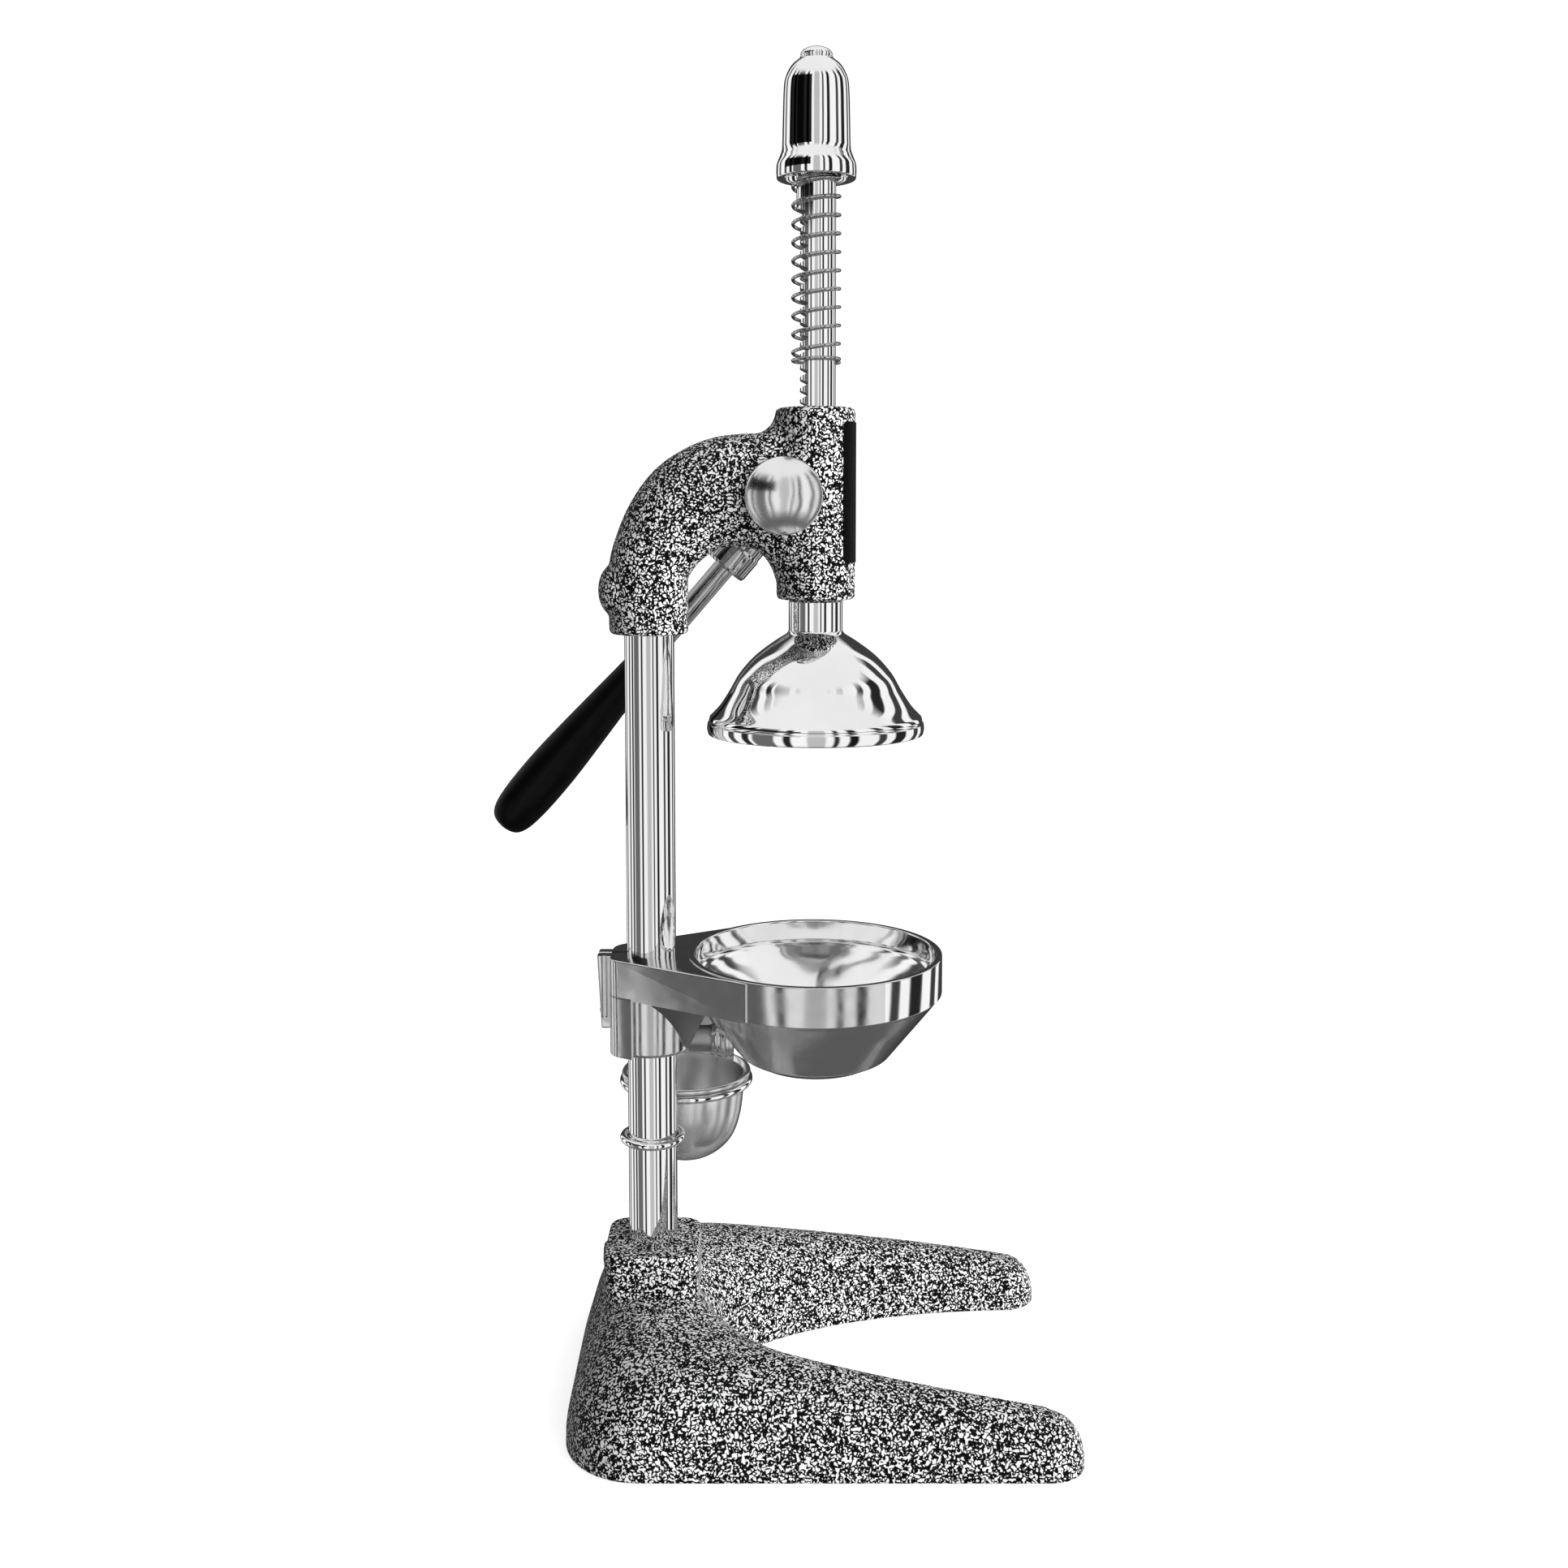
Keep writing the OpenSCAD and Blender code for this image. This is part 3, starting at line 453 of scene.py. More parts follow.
M_PLATE = plain_coat("black_plate", 0.001, 0.002, 0.5, 500, 0.00003, 0.08)

CAD_FINISH = [
    (M_STEEL, ("column_foot_plug", "pinion_shaft")),
    (M_ZINC, ("column_bolt", "column_bolt_washer", "bracket_clamp_bolts", "bell_screw",
        "spring_seat_washer", "thrust_washer")),
    (M_BLACK_STEEL, ("base_set_screw", "head_set_screw", "hub_set_screw")),
    (M_BRONZE, ("barrel_bush_top", "barrel_bush_bottom", "pinion_bush_near", "pinion_bush_far")),
    (M_CHROME, ("rack_rod",)),
    (M_RUBBER, ("base_soles",)),
]


def dress_cad_nodes():
    """Gives every CAD node that no modelled piece replaces its material."""
    for material, names in CAD_FINISH:
        for name in names:
            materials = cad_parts[name].data.materials
            materials.clear()
            materials.append(material)


# -------- base

BASE_HALF_W = BASE_HIGH.y
BASE_TOE_W = 35
BASE_CORNER_R = 38
NOTCH_X = 36
NOTCH_REACH = 9.5
BASE_SCREW_X = -25.6
BASE_SKIRT = 8
LEG_AROUND = 28
LEG_POWER = 2 / 2.35


def polyline_at(points, share):
    """The point at a share of a polyline's length."""
    lengths = [(b - a).length for a, b in zip(points, points[1:])]
    left = share * sum(lengths)
    for a, b, size in zip(points, points[1:], lengths):
        if left <= size:
            return a.lerp(b, left / size)
        left -= size
    return points[-1].copy()


def leg_sections():
    """A leg from its toe to the middle of the rear, as (outer point, inner point, height)."""
    toe_x = BASE_HIGH.x - BASE_TOE_W / 2
    inner_y = BASE_HALF_W - BASE_TOE_W
    corner = Vector((BASE_LOW.x + BASE_CORNER_R, BASE_HALF_W - BASE_CORNER_R))
    arc = [
        corner + Vector((math.cos(a), math.sin(a))) * BASE_CORNER_R
        for a in spread(QUARTER, 2 * QUARTER, 12)
    ]
    outer = [Vector((toe_x, BASE_HALF_W))] + arc + [Vector((BASE_LOW.x, 0))]
    reach = toe_x + NOTCH_REACH - NOTCH_X
    inner = [
        Vector((NOTCH_X + reach * (1 - t), inner_y * (1 - t * t) ** 0.6))
        for t in spread(0, 1, 40)
    ]
    inner[0].x = toe_x
    # heights of the crest at even steps from toe to rear
    heights = [23.5, 31.5, 38.5, 45, 50, 56]
    spans = len(heights) - 1
    sections = []
    for u in spread(0, 1, 60):
        k = min(int(u * spans), spans - 1)
        top = heights[k] + (heights[k + 1] - heights[k]) * (u * spans - k)
        sections.append((polyline_at(outer, u), polyline_at(inner, u), top))
    return sections


def leg_arch(bm, outer, inner, top, end=2 * QUARTER):
    """Vertices over a section of the leg, from its outer edge to its inner edge or to its crest."""
    ring = []
    for a in spread(0, end, round(LEG_AROUND * end / math.pi)):
        c = math.cos(a)
        across = 0.5 + 0.5 * math.copysign(abs(c) ** LEG_POWER, c)
        p = inner.lerp(outer, across)
        z = BASE_LOW.z + (top - BASE_LOW.z) * math.sin(a) ** LEG_POWER
        ring.append(bm.verts.new((p.x, p.y, z)))
    ring[0].co.z -= BASE_SKIRT
    return ring


def base_leg():
    """One half of the forked base: a rounded section swept from the toe round to the middle of the rear."""
    bm = bmesh.new()
    sections = leg_sections()
    rings = [leg_arch(bm, *section) for section in sections]
    for ring in rings:
        ring[-1].co.z -= BASE_SKIRT
    # round toe: the first section's outer half turned about the toe's centre
    outer, inner, top = sections[0]
    centre, half_w = (outer + inner) / 2, (outer - inner).length / 2
    toe = []
    for turn in spread(0, math.pi, 16)[1:-1]:
        side = Vector((math.sin(turn), math.cos(turn))) * half_w
        toe.append(leg_arch(bm, centre + side, centre - side, top, QUARTER))
    crest = LEG_AROUND // 2
    fan = [rings[0][:crest + 1]] + toe + [rings[0][:crest - 1:-1]]
    bridge(bm, fan, False)
    bridge(bm, rings)
    bm.faces.new([r[0] for r in fan])
    bm.faces.new(rings[-1])
    bmesh.ops.remove_doubles(bm, verts=bm.verts, dist=0.001)
    return bm


def rounded_prism(width, radius, low, high, edge):
    """A standing prism with a rounded square plan and a rounded top edge."""
    bm = bmesh.new()
    rings = []
    levels = [(low, 0)] + [
        (high - edge + edge * math.sin(a), edge * (1 - math.cos(a)))
        for a in spread(0, QUARTER, 5)
    ]
    for z, inset in levels:
        h = width / 2 - inset
        r = max(radius - inset, 1)
        ring = []
        for q in range(4):
            cx, cy = [(1, 1), (-1, 1), (-1, -1), (1, -1)][q]
            for a in spread(q * QUARTER, (q + 1) * QUARTER, 8):
                x, y = cx * (h - r) + r * math.cos(a), cy * (h - r) + r * math.sin(a)
                ring.append(bm.verts.new((x, y, z)))
        rings.append(ring)
    bridge(bm, rings)
    bm.faces.new(rings[0])
    bm.faces.new(rings[-1])
    return bm


def make_base():
    """The forked foot: two mirrored halves melted together, a square collar and the set screw's boss."""
    near = new_object("base_near", base_leg())
    far = new_object("base_far", base_leg())
    far.data.transform(Matrix.Scale(-1, 4, (0, 1, 0)))
    far.data.flip_normals()
    boss_r, boss_h, boss_z = 6, 14, BASE_HIGH.z - 9
    screw = lathe("base_boss", rounded([(0, 0, 0), (boss_r, 0, 1.5), (boss_r, boss_h, 0), (0, boss_h, 0)]),
        (BASE_SCREW_X, 0, boss_z), X_AXIS, 32)
    legs = fitted(cast(joined("base_legs", [near, far]), 1.4, 4), "base_casting", "xy")
    # the skirt below the legs keeps their lower edge crisp, and is cut off here
    under = block("under", (-300, -300, -100), (300, 300, BASE_LOW.z))
    bored(legs, [under])
    collar_w, collar_r, collar_low = 48, 9, 48
    square = rounded_prism(collar_w, collar_r, collar_low, BASE_HIGH.z, 1.5)
    collar = cast(new_object("base_collar", square), 0.8, 3)
    base = joined("base_casting_skin", [legs, collar, screw])
    return finish_piece(base, "stand", M_HAMMER, "hammertone", "base_casting")


# -------- head

def oval_section(bm, inner, outer, half_w):
    """A ring of vertices: an oval between two points of the side view, with its half-width along Y."""
    middle = (inner + outer) / 2
    reach = (outer - inner) / 2
    ring = []
    for a in full_turn(40):
        p = middle + reach * math.cos(a)
        ring.append(bm.verts.new((p.x, half_w * math.sin(a), p.y)))
    return ring


def skinned(name, sections):
    """A closed skin through oval sections of (inner point, outer point, half-width)."""
    bm = bmesh.new()
    rings = [oval_section(bm, *s) for s in sections]
    bridge(bm, rings)
    bm.faces.new(rings[0])
    bm.faces.new(rings[-1])
    return new_object(name, bm)


def make_head():
    """The gooseneck: an oval neck bent over into the barrel, with the pinion housing across it."""
    neck_r = 19.6
    low = HEAD_LOW
    # the inside and the outside of the bend, as (x, height above the socket's edge), in pairs
    inside = smooth_curve([(17.6, 1.5), (17.6, 12), (17.6, 20), (19.0, 26), (21.6, 31), (25, 35.4),
        (29.2, 39), (33.8, 41.6), (38.8, 43.2), (43.6, 43.8), (49, 43.2), (54.4, 41.2), (58.8, 37),
        (62.4, 30), (65, 20)], 4)
    outside = smooth_curve([(-19.9, 1.5), (-20.2, 14), (-20.4, 28), (-18.8, 40), (-14.6, 53), (-9.6, 64),
        (-2.4, 75.2), (6.8, 84.8), (19.6, 92.8), (32.6, 97.6), (46, 99.4), (59, 99.6), (72, 99.6),
        (84, 99.6), (92, 99.6)], 4)
    lift = Vector((0, low))
    # the neck narrows by a millimetre a side where it runs into the barrel
    neck = skinned("head_neck", [
        (a + lift, b + lift, neck_r - 1.0 * min(1, max(0, a.x - 54) / 8))
        for a, b in zip(inside, outside)
    ])
    # the neck's crest runs up against the barrel in a fillet
    fillet_r, fillet_x, fillet_z = 11, PRESS_X - 31, low + 99.4
    core = Vector((PRESS_X - 4, low + 82))
    crest = []
    for t in spread(0, 1, 8):
        a = QUARTER * t
        edge = Vector((fillet_x + fillet_r * math.sin(a), fillet_z + (fillet_r + 1) * (1 - math.cos(a))))
        crest.append((core, edge, 13 - 2 * t))
    fillet = skinned("head_fillet", crest)
    barrel_r = 19.6
    barrel = lathe("head_barrel", rounded([(0, BARREL_LOW, 0), (barrel_r, BARREL_LOW, 2.2),
        (barrel_r, BARREL_TOP, 2.2), (0, BARREL_TOP, 0)]), (PRESS_X, 0, 0), segments=96)
    socket = lathe("head_socket", rounded([(0, low, 0), (neck_r, low, 2.0),
        (neck_r, low + 30, 4), (0, low + 30, 0)]), segments=96)
    near_y, far_y = -20.4, 22
    housing_r = 18.5
    housing = lathe("head_housing", rounded([(0, near_y, 0), (housing_r, near_y, 2), (housing_r, far_y, 2),
        (0, far_y, 0)]), (PINION.x, 0, PINION.z), Y_AXIS, 96)
    boss_r, boss_h, boss_power = 15.6, 15, 2.2
    boss_x, boss_z = -25.2, low + 22
    bulge = [
        (boss_r * t, boss_h * (1 - (1 - t ** boss_power) ** (1 / boss_power)))
        for t in spread(0, 1, 16)
    ]
    boss = lathe("head_boss", bulge + [(boss_r, boss_h + 3), (0, boss_h + 3)], (boss_x, 0, boss_z),
        X_AXIS, 64)
    head = cast(joined("head_casting_skin", [neck, fillet, barrel, socket, housing, boss]), 0.95, 5)
    bush_r = radius_of("barrel_bush_top")
    bored(head, [lathe("bore", [(0, BARREL_LOW - 5), (bush_r, BARREL_LOW - 5), (bush_r, BARREL_TOP + 5),
        (0, BARREL_TOP + 5)], (PRESS_X, 0, 0), segments=64)])
    return finish_piece(head, "stand", M_HAMMER, "hammertone", "head_casting")


def make_nameplate():
    """A blank curved plate with rounded corners on the front of the barrel."""
    low, high = node_box("front_nameplate")
    inner_r, outer_r = 19.25, 20.0
    half_a = math.asin(high.y / outer_r)
    corner = 1.6
    bm = bmesh.new()
    rows, columns = 40, 36
    spans = []
    for z in spread(low.z, high.z, rows):
        edge = min(z - low.z, high.z - z)
        cut = corner - math.sqrt(max(corner ** 2 - max(corner - edge, 0) ** 2, 0))
        spans.append((z, half_a - cut / outer_r))
    skins = []
    for r in (outer_r, inner_r):
        skins.append([
            [bm.verts.new((PRESS_X + r * math.cos(a), r * math.sin(a), z))
             for a in spread(-half, half, columns)]
            for z, half in spans
        ])
    for grid in skins:
        bridge(bm, grid, False)
    rims = [g[0] + [r[-1] for r in g[1:]] + g[-1][-2::-1] + [r[0] for r in g[-2:0:-1]] for g in skins]
    bridge(bm, rims)
    plate = new_object("nameplate_skin", bm, True, 40)
    bevel = plate.modifiers.new("bevel", "BEVEL")
    bevel.width = 0.2 * MM
    bevel.segments = 2
    bevel.limit_method = "ANGLE"
    apply_modifiers(plate)
    return finish_piece(plate, "stand", M_PLATE, "black_plate", "front_nameplate")


# -------- column and ram

def make_column():
    """The chrome tube, with its wall and softened ends."""
    low, high = node_box("column_tube")
    wall = 2.5
    outline = rounded([(COLUMN_R - wall, low.z, 0), (COLUMN_R, low.z, 0.4), (COLUMN_R, high.z, 0.4),
        (COLUMN_R - wall, high.z, 0)])
    column = lathe("column_skin", outline, segments=160)
    return finish_piece(column, "stand", M_COLUMN, "chrome", "column_tube")


def make_bell():
    """The press bell: rim band, groove, curved flank and neck outside, and a thin dish inside."""
    low, high = node_box("press_bell")
    r = radius_of("press_bell")
    z = low.z
    flank = smooth_curve([(r - 1.4, z + 8.6), (r - 6.6, z + 14.2), (r - 11.9, z + 22.4),
        (r - 16.4, z + 30.2), (r - 23.8, z + 38.6), (r - 32.8, z + 45.6), (r - 40.0, z + 50.2)])
    neck_r = 13.5
    rim = rounded([(r - 4, z, 0), (r - 0.6, z, 0.6), (r, z + 2.8, 0), (r - 0.3, z + 5.7, 0.5),
        (r - 1.3, z + 5.9, 0)])[1:-1]
    groove = [(r - 1.25, z + 6.1), (r - 1.3, z + 6.5), (r - 1.0, z + 7.2)]
    neck = rounded([(neck_r + 1.2, z + 50.3, 0), (neck_r, z + 51.6, 1.2), (neck_r, high.z, 1.0),
        (9.9, high.z, 0)])[1:]
    inside = smooth_curve([(10, z + 43.0), (18, z + 41.4), (27, z + 35.6), (34, z + 27.8), (40, z + 18.6),
        (47, z + 9.6), (r - 3.6, z + 5.0), (r - 4, z)])
    outline = rim + groove + flank + neck + [(9.9, z + 52), (0, z + 52), (0, z + 43.2)] + inside
    bell = lathe("press_bell_skin", outline, (PRESS_X, 0, 0), segments=192)
    sharpened(bell, 38)
    return finish_piece(bell, "ram", M_CHROME, "chrome", "press_bell")


def make_cap():
    """The bell-shaped cap over the spring, and the domed nut on it."""
    low, high = node_box("spring_cap")
    top = high.z
    z = low.z
    rim_r, body_r, in_r = 19.65, 16.7, 14.4
    side = smooth_curve([(rim_r, z + 4.2), (rim_r - 0.25, z + 7.2), (body_r + 1.5, z + 10.4),
        (body_r + 0.35, z + 13.5), (body_r, z + 17), (body_r - 0.3, z + 30), (body_r - 0.7, z + 43),
        (body_r - 1.6, z + 48.6), (body_r - 4.3, z + 53.8), (body_r - 8.2, z + 57.2), (7.0, top)])
    outline = rounded([(in_r + 3.4, z, 0), (rim_r - 0.2, z, 0.9), (rim_r, z + 4.0, 0)])[1:-1] + side + [
        (5.2, top), (5.2, top - 16), (in_r - 2, top - 17), (in_r, top - 19), (in_r, z + 6),
        (in_r + 0.6, z + 2), (in_r + 2.2, z + 0.3)]
    cap = lathe("spring_cap_skin", outline, (PRESS_X, 0, 0), segments=144)
    sharpened(cap, 50)
    finish_piece(cap, "ram", M_CHROME, "chrome", "spring_cap")
    nut_top = node_box("cap_nut")[1].z
    r, skirt = radius_of("cap_nut"), 0.9
    dome = [
        (r * math.cos(a), top + skirt + (nut_top - top - skirt) * math.sin(a))
        for a in spread(0, QUARTER, 12)[:-1]
    ]
    nut = lathe("cap_nut_skin", [(0, top - 0.2), (r + 0.1, top - 0.2)] + dome + [(0, nut_top)],
        (PRESS_X, 0, 0), segments=64)
    return finish_piece(nut, "ram", M_CHROME, "chrome", "cap_nut")


def make_spring():
    """The return spring: a round wire in an even helix with closed end turns."""
    low, high = node_box("return_spring")
    wire = 0.9
    radius = radius_of("return_spring") - wire
    turns, per_turn, closed = 16, 40, 1.2
    # the closed turns at each end rise by a little more than the wire's thickness
    end_rise = 2.2 * wire
    length = high.z - low.z - 2 * wire
    count = turns * per_turn
    path = []
    for i in range(count + 1):
        t = i / per_turn
        if t < closed:
            rise = t / closed * end_rise
        elif t > turns - closed:
            rise = length - (turns - t) / closed * end_rise
        else:
            share = (t - closed) / (turns - 2 * closed)
            rise = end_rise + share * (length - 2 * end_rise)
        a = 2 * math.pi * t
        path.append((PRESS_X + radius * math.cos(a), radius * math.sin(a), low.z + wire + rise))
    spring = swept("return_spring_wire", path, wire, 12)
    finish_piece(spring, "ram", M_SPRING, "spring_steel", "return_spring")
    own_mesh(spring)
    return spring


# -------- lever

def make_dome():
    """The domed cap on the near end of the pinion shaft, a little wider than its CAD node."""
    low, high = node_box("shaft_dome_cap")
    r = radius_of("shaft_dome_cap") + 0.9
    depth = high.y - low.y
    rise = 9.4
    skirt = depth - rise
    ball_r = (r * r + rise * rise) / (2 * rise)
    edge = math.acos(1 - rise / ball_r)
    ball = [
        (ball_r * math.sin(a), depth - ball_r + ball_r * math.cos(a))
        for a in spread(edge, 0, 28)[:-1]
    ]
    back = [(0, depth), (0, 9), (5.1, 9), (5.1, 0.3), (8, 0.3)]
    outline = rounded([(8, 0, 0), (r, 0, 0.4), (r, skirt - 0.15, 0)])[1:] + ball[1:] + back
    dome = lathe("dome_cap_skin", outline, (PINION.x, high.y, PINION.z), -Y_AXIS, 144)
    return finish_piece(dome, "lever", M_DOME, "chrome", "shaft_dome_cap")


def make_lever():
    """The lever in its parked place, 40.7 degrees back from straight down: hub, socket, rod and grip."""
    along = Vector((-0.6521, 0, -0.7581))
    lever_y = centre_of("lever_rod").y
    start = (PINION.x, lever_y, PINION.z)
    near_y, far_y = (corner.y for corner in node_box("lever_hub"))
    sleeve_r, bore_r, cover = 13, 8.1, 3
    sleeve = lathe("hub_sleeve", rounded([(bore_r, near_y, 0), (sleeve_r, near_y, 1), (sleeve_r, far_y, 2),
        (0, far_y, 0), (0, far_y - cover, 0), (bore_r, far_y - cover, 0)]),
        (PINION.x, 0, PINION.z), Y_AXIS, 96)
    socket = lathe("hub_socket", rounded([(0, 0, 0), (11.9, 0, 0), (11.9, 35.5, 0.6), (12.5, 37, 0.8),
        (12.5, 48.2, 1), (11.6, 50, 0.6), (6.1, 50, 0.3), (6.1, 30, 0), (0, 30, 0)]), start, along, 96)
    hub = sharpened(joined("lever_hub_skin", [sleeve, socket]), 40)
    # the hub and the rod take the darker chrome, which is painted shade
    finish_piece(hub, "lever", M_LEVER_PAINTED_SHADE, "chrome", "lever_hub")
    rod_r, rod_start, rod_end = 6, 30.5, 224
    rod = lathe("lever_rod_skin", rounded([(0, rod_start, 0), (rod_r, rod_start, 0.5), (rod_r, rod_end, 0.5),
        (0, rod_end, 0)]), start, along, 64)
    finish_piece(rod, "lever", M_LEVER_PAINTED_SHADE, "chrome", "lever_rod")
    shape = smooth_curve([(8.0, 109), (8.9, 125), (10.3, 145), (11.9, 168), (13.2, 190), (13.5, 206),
        (13.1, 220), (11.8, 230.4), (9.2, 236.4), (5.2, 238.9), (0.0, 239.3)], 6)
    shape[-1].x = 0
    bore = [(6.05, rod_end + 0.5), (6.05, 108.6), (6.6, 108.1), (7.5, 108.2)]
    grip = lathe("lever_grip_skin", bore + shape + [(0, rod_end + 0.5)], start, along, 96)
    return finish_piece(grip, "lever", M_GRIP, "black_grip", "lever_grip")


# -------- bowl bracket

def arc_points(centre, radius, start_deg, end_deg, count):
    """Points along an arc in plan."""
    return [
        (centre[0] + radius * math.cos(a), centre[1] + radius * math.sin(a))
        for a in spread(math.radians(start_deg), math.radians(end_deg), count)
    ]


def prism(name, plan, low, high, top_edge=0.0, low_edge=0.0, shown=lambda p: True):
    """A standing prism over a plan of points, with its edges rounded between the shown points."""
    bm = bmesh.new()
    bottom = [bm.verts.new((p[0], p[1], low)) for p in plan]
    top = [bm.verts.new((p[0], p[1], high)) for p in plan]
    ends = [bm.faces.new(bottom), bm.faces.new(top)]
    for k in range(len(plan)):
        n = (k + 1) % len(plan)
        bm.faces.new([bottom[k], bottom[n], top[n], top[k]])
    rims = [([e for e in face.edges if all(shown(v.co) for v in e.verts)], edge)
        for face, edge in zip(ends, (low_edge, top_edge))]
    for edges, width in rims:
        if width:
            bmesh.ops.bevel(bm, geom=edges, offset=width, segments=4, affect="EDGES", profile=0.5)
    return new_object(name, bm, sharp_deg=32)


BRACKET_LOW, BRACKET_HIGH = node_box("bowl_bracket")
BRACKET_TOP = BRACKET_HIGH.z
RING_R = BRACKET_HIGH.x - PRESS_X
RING_IN_R = RING_R - 3.4
BAND_LOW = BRACKET_TOP - 20
LEDGE_Z = BRACKET_TOP - 12.5
ARM_TOP = BRACKET_TOP - 0.6
CLAMP_LOW = BRACKET_TOP - 50
CLAMP_R = 20
CLAMP_REAR_X = -20.5
SLIT_HALF = 0.8
RIB_R = 8.6


def arm_flank():
    """Where the arm's straight side touches the ring and meets the rear face, its direction and its lean."""
    flank_r, touch_r = 22.4, RING_R + 0.5
    lean = math.acos((flank_r - touch_r) / PRESS_X)
    normal = Vector((math.cos(lean), math.sin(lean)))
    along = Vector((normal.y, -normal.x))
    start = normal * flank_r
    touch = Vector((PRESS_X, 0)) + normal * touch_r
    corner = start + along * ((CLAMP_REAR_X - start.x) / along.x)
    return touch, corner, along, lean


def mirrored(half):
    """A plan from its half at +Y: the same points again at -Y, in reverse."""
    return list(half) + [(p[0], -p[1], *p[2:]) for p in reversed(half)]


def bracket_hopper():
    """The turned ring and the hopper below it, with the ledge and the pocket that the funnel sits in."""
    floor = BRACKET_LOW.z
    floor_r, outlet_r, floor_wall = 29, 21, 3.4
    pocket_z, pocket_r = LEDGE_Z + 2.1, RING_IN_R - 0.8
    body_r = RING_IN_R - 3.6
    hopper = lathe("bracket_bowl", rounded([
        (outlet_r, floor, 0.8), (floor_r, floor, 5), (floor_r + 9, floor + 4.5, 6),
        (RING_R - 1.4, BAND_LOW - 1.0, 0.4), (RING_R, BAND_LOW + 0.6, 0.5), (RING_R, BRACKET_TOP, 0.7),
        (RING_IN_R, BRACKET_TOP, 0.8), (RING_IN_R, pocket_z, 0.2), (pocket_r, pocket_z, 0.2),
        (pocket_r, LEDGE_Z, 0.2), (body_r, LEDGE_Z, 0.6), (body_r, BAND_LOW + 1, 2),
        (floor_r + 5, floor + floor_wall, 4), (outlet_r, floor + floor_wall, 0.8)], 5),
        (PRESS_X, 0, 0), segments=192)
    return sharpened(hopper, 32)


def bracket_clamp():
    """The arm's slab, the block behind it and the barrel below, slit and bored for the column."""
    bore_r = COLUMN_R + 0.05
    strip_x, corner_r = -7.6, 10
    touch, corner, along, lean = arm_flank()
    hidden = arc_points((PRESS_X, 0), RING_R - 1.7, math.degrees(lean), 180, 24)
    slab_plan = rounded(mirrored([(*corner, corner_r), (*touch, 1.3)] + [(*p, 0) for p in hidden[:-1]]))
    # no edge is rounded inside the ring, nor where the rear block carries on below the slab
    slab = prism("bracket_slab", slab_plan, BAND_LOW, ARM_TOP, 0.9, 0.5,
        lambda p: math.hypot(p.x - PRESS_X, p.y) > RING_R - 0.6
        and (p.z > BAND_LOW + 1 or p.x > strip_x - 1))
    strip = corner + along * ((strip_x - corner.x) / along.x)
    rear_plan = rounded(mirrored([(*corner, corner_r), (*strip, 0.8), (strip_x, 11, 0)]))
    rear = prism("bracket_rear", rear_plan, CLAMP_LOW, BAND_LOW + 1, 0, 3.2, lambda p: p.x < strip_x - 1)
    barrel = lathe("bracket_barrel", rounded([(bore_r, CLAMP_LOW, 0.5), (CLAMP_R, CLAMP_LOW, 2.2),
        (CLAMP_R, BAND_LOW + 2, 0), (bore_r, BAND_LOW + 2, 0)]), segments=128)
    below, above = CLAMP_LOW - 5, BRACKET_TOP + 5
    for part in (slab, rear, barrel):
        cutters = [block("slit", (-40, -SLIT_HALF, below), (-5, SLIT_HALF, above))]
        if part is not barrel:
            cutters.append(lathe("bore", [(0, below), (bore_r, below), (bore_r, above), (0, above)],
                segments=128))
        sharpened(bored(part, cutters), 32)
    return [slab, rear, barrel]


def bracket_lugs():
    """The two lugs beside the slit, with a round groove up the outside of the near one."""
    low, high = BRACKET_TOP - 38, ARM_TOP - 0.2
    rear_x, half_w, lean_in = -27.2, 7, 2.0
    lugs = []
    for side in (1, -1):
        slit_y, lug_y = side * SLIT_HALF, side * half_w
        plan = rounded([(rear_x, slit_y, 0.3), (rear_x, lug_y, 1.2), (CLAMP_REAR_X + 4, lug_y, 0),
            (CLAMP_REAR_X + 4, slit_y, 0)])
        lug = prism("bracket_lug", plan, low, high, 0.5, 0.8)
        # the rear faces of the lugs lean in towards their foot
        for v in lug.data.vertices:
            back = max(0.0, (CLAMP_REAR_X * MM - v.co.x) / ((CLAMP_REAR_X - rear_x) * MM))
            v.co.x += back * lean_in * MM * (ARM_TOP * MM - v.co.z) / ((ARM_TOP - low) * MM)
        lugs.append(lug)
    groove_r, groove_z, above = 1.9, low + 6.5, BRACKET_TOP + 5
    tip = [
        (groove_r * math.sin(a), groove_z - groove_r * math.cos(a))
        for a in spread(0, QUARTER, 8)
    ]
    groove = lathe("groove", tip + [(groove_r, above), (0, above)], (-23.4, -8.0, 0), segments=32)
    sharpened(bored(lugs[1], [groove]), 32)
    return lugs


def bracket_rib():
    """The flared rib between clamp and hopper, the web over it and the gusset up to the arm."""
    start, end = 16, 41.6
    rib_z = CLAMP_LOW + 6
    flare = smooth_curve([(RIB_R, start), (RIB_R, 22), (RIB_R, 28), (8.9, 30.4), (9.9, 32.2),
        (10.3, 33.4), (9.9, 34.6), (10.6, 36), (12.0, 37.4), (12.6, 39), (12.4, end)], 4)
    rib = lathe("bracket_rib", flare + [(0, end), (0, start)], (0, 0, rib_z), X_AXIS, 72)
    sharpened(rib, 50)
    web = block("bracket_web", (14, -5, rib_z), (PRESS_X - RING_R + 14, 5, BAND_LOW + 1))
    # the gusset spreads from the rib at the clamp up to the underside of the arm
    bm = bmesh.new()
    for x in (14, 17.5):
        for a in full_turn(24):
            bm.verts.new((x, RIB_R * math.cos(a), rib_z + RIB_R * math.sin(a)))
    for x, y in ((0, 22), (0, -22), (31, -33), (31, 33)):
        bm.verts.new((x, y, BAND_LOW + 1))
    bmesh.ops.convex_hull(bm, input=bm.verts)
    return [rib, web, new_object("bracket_keel", bm, sharp_deg=24)]


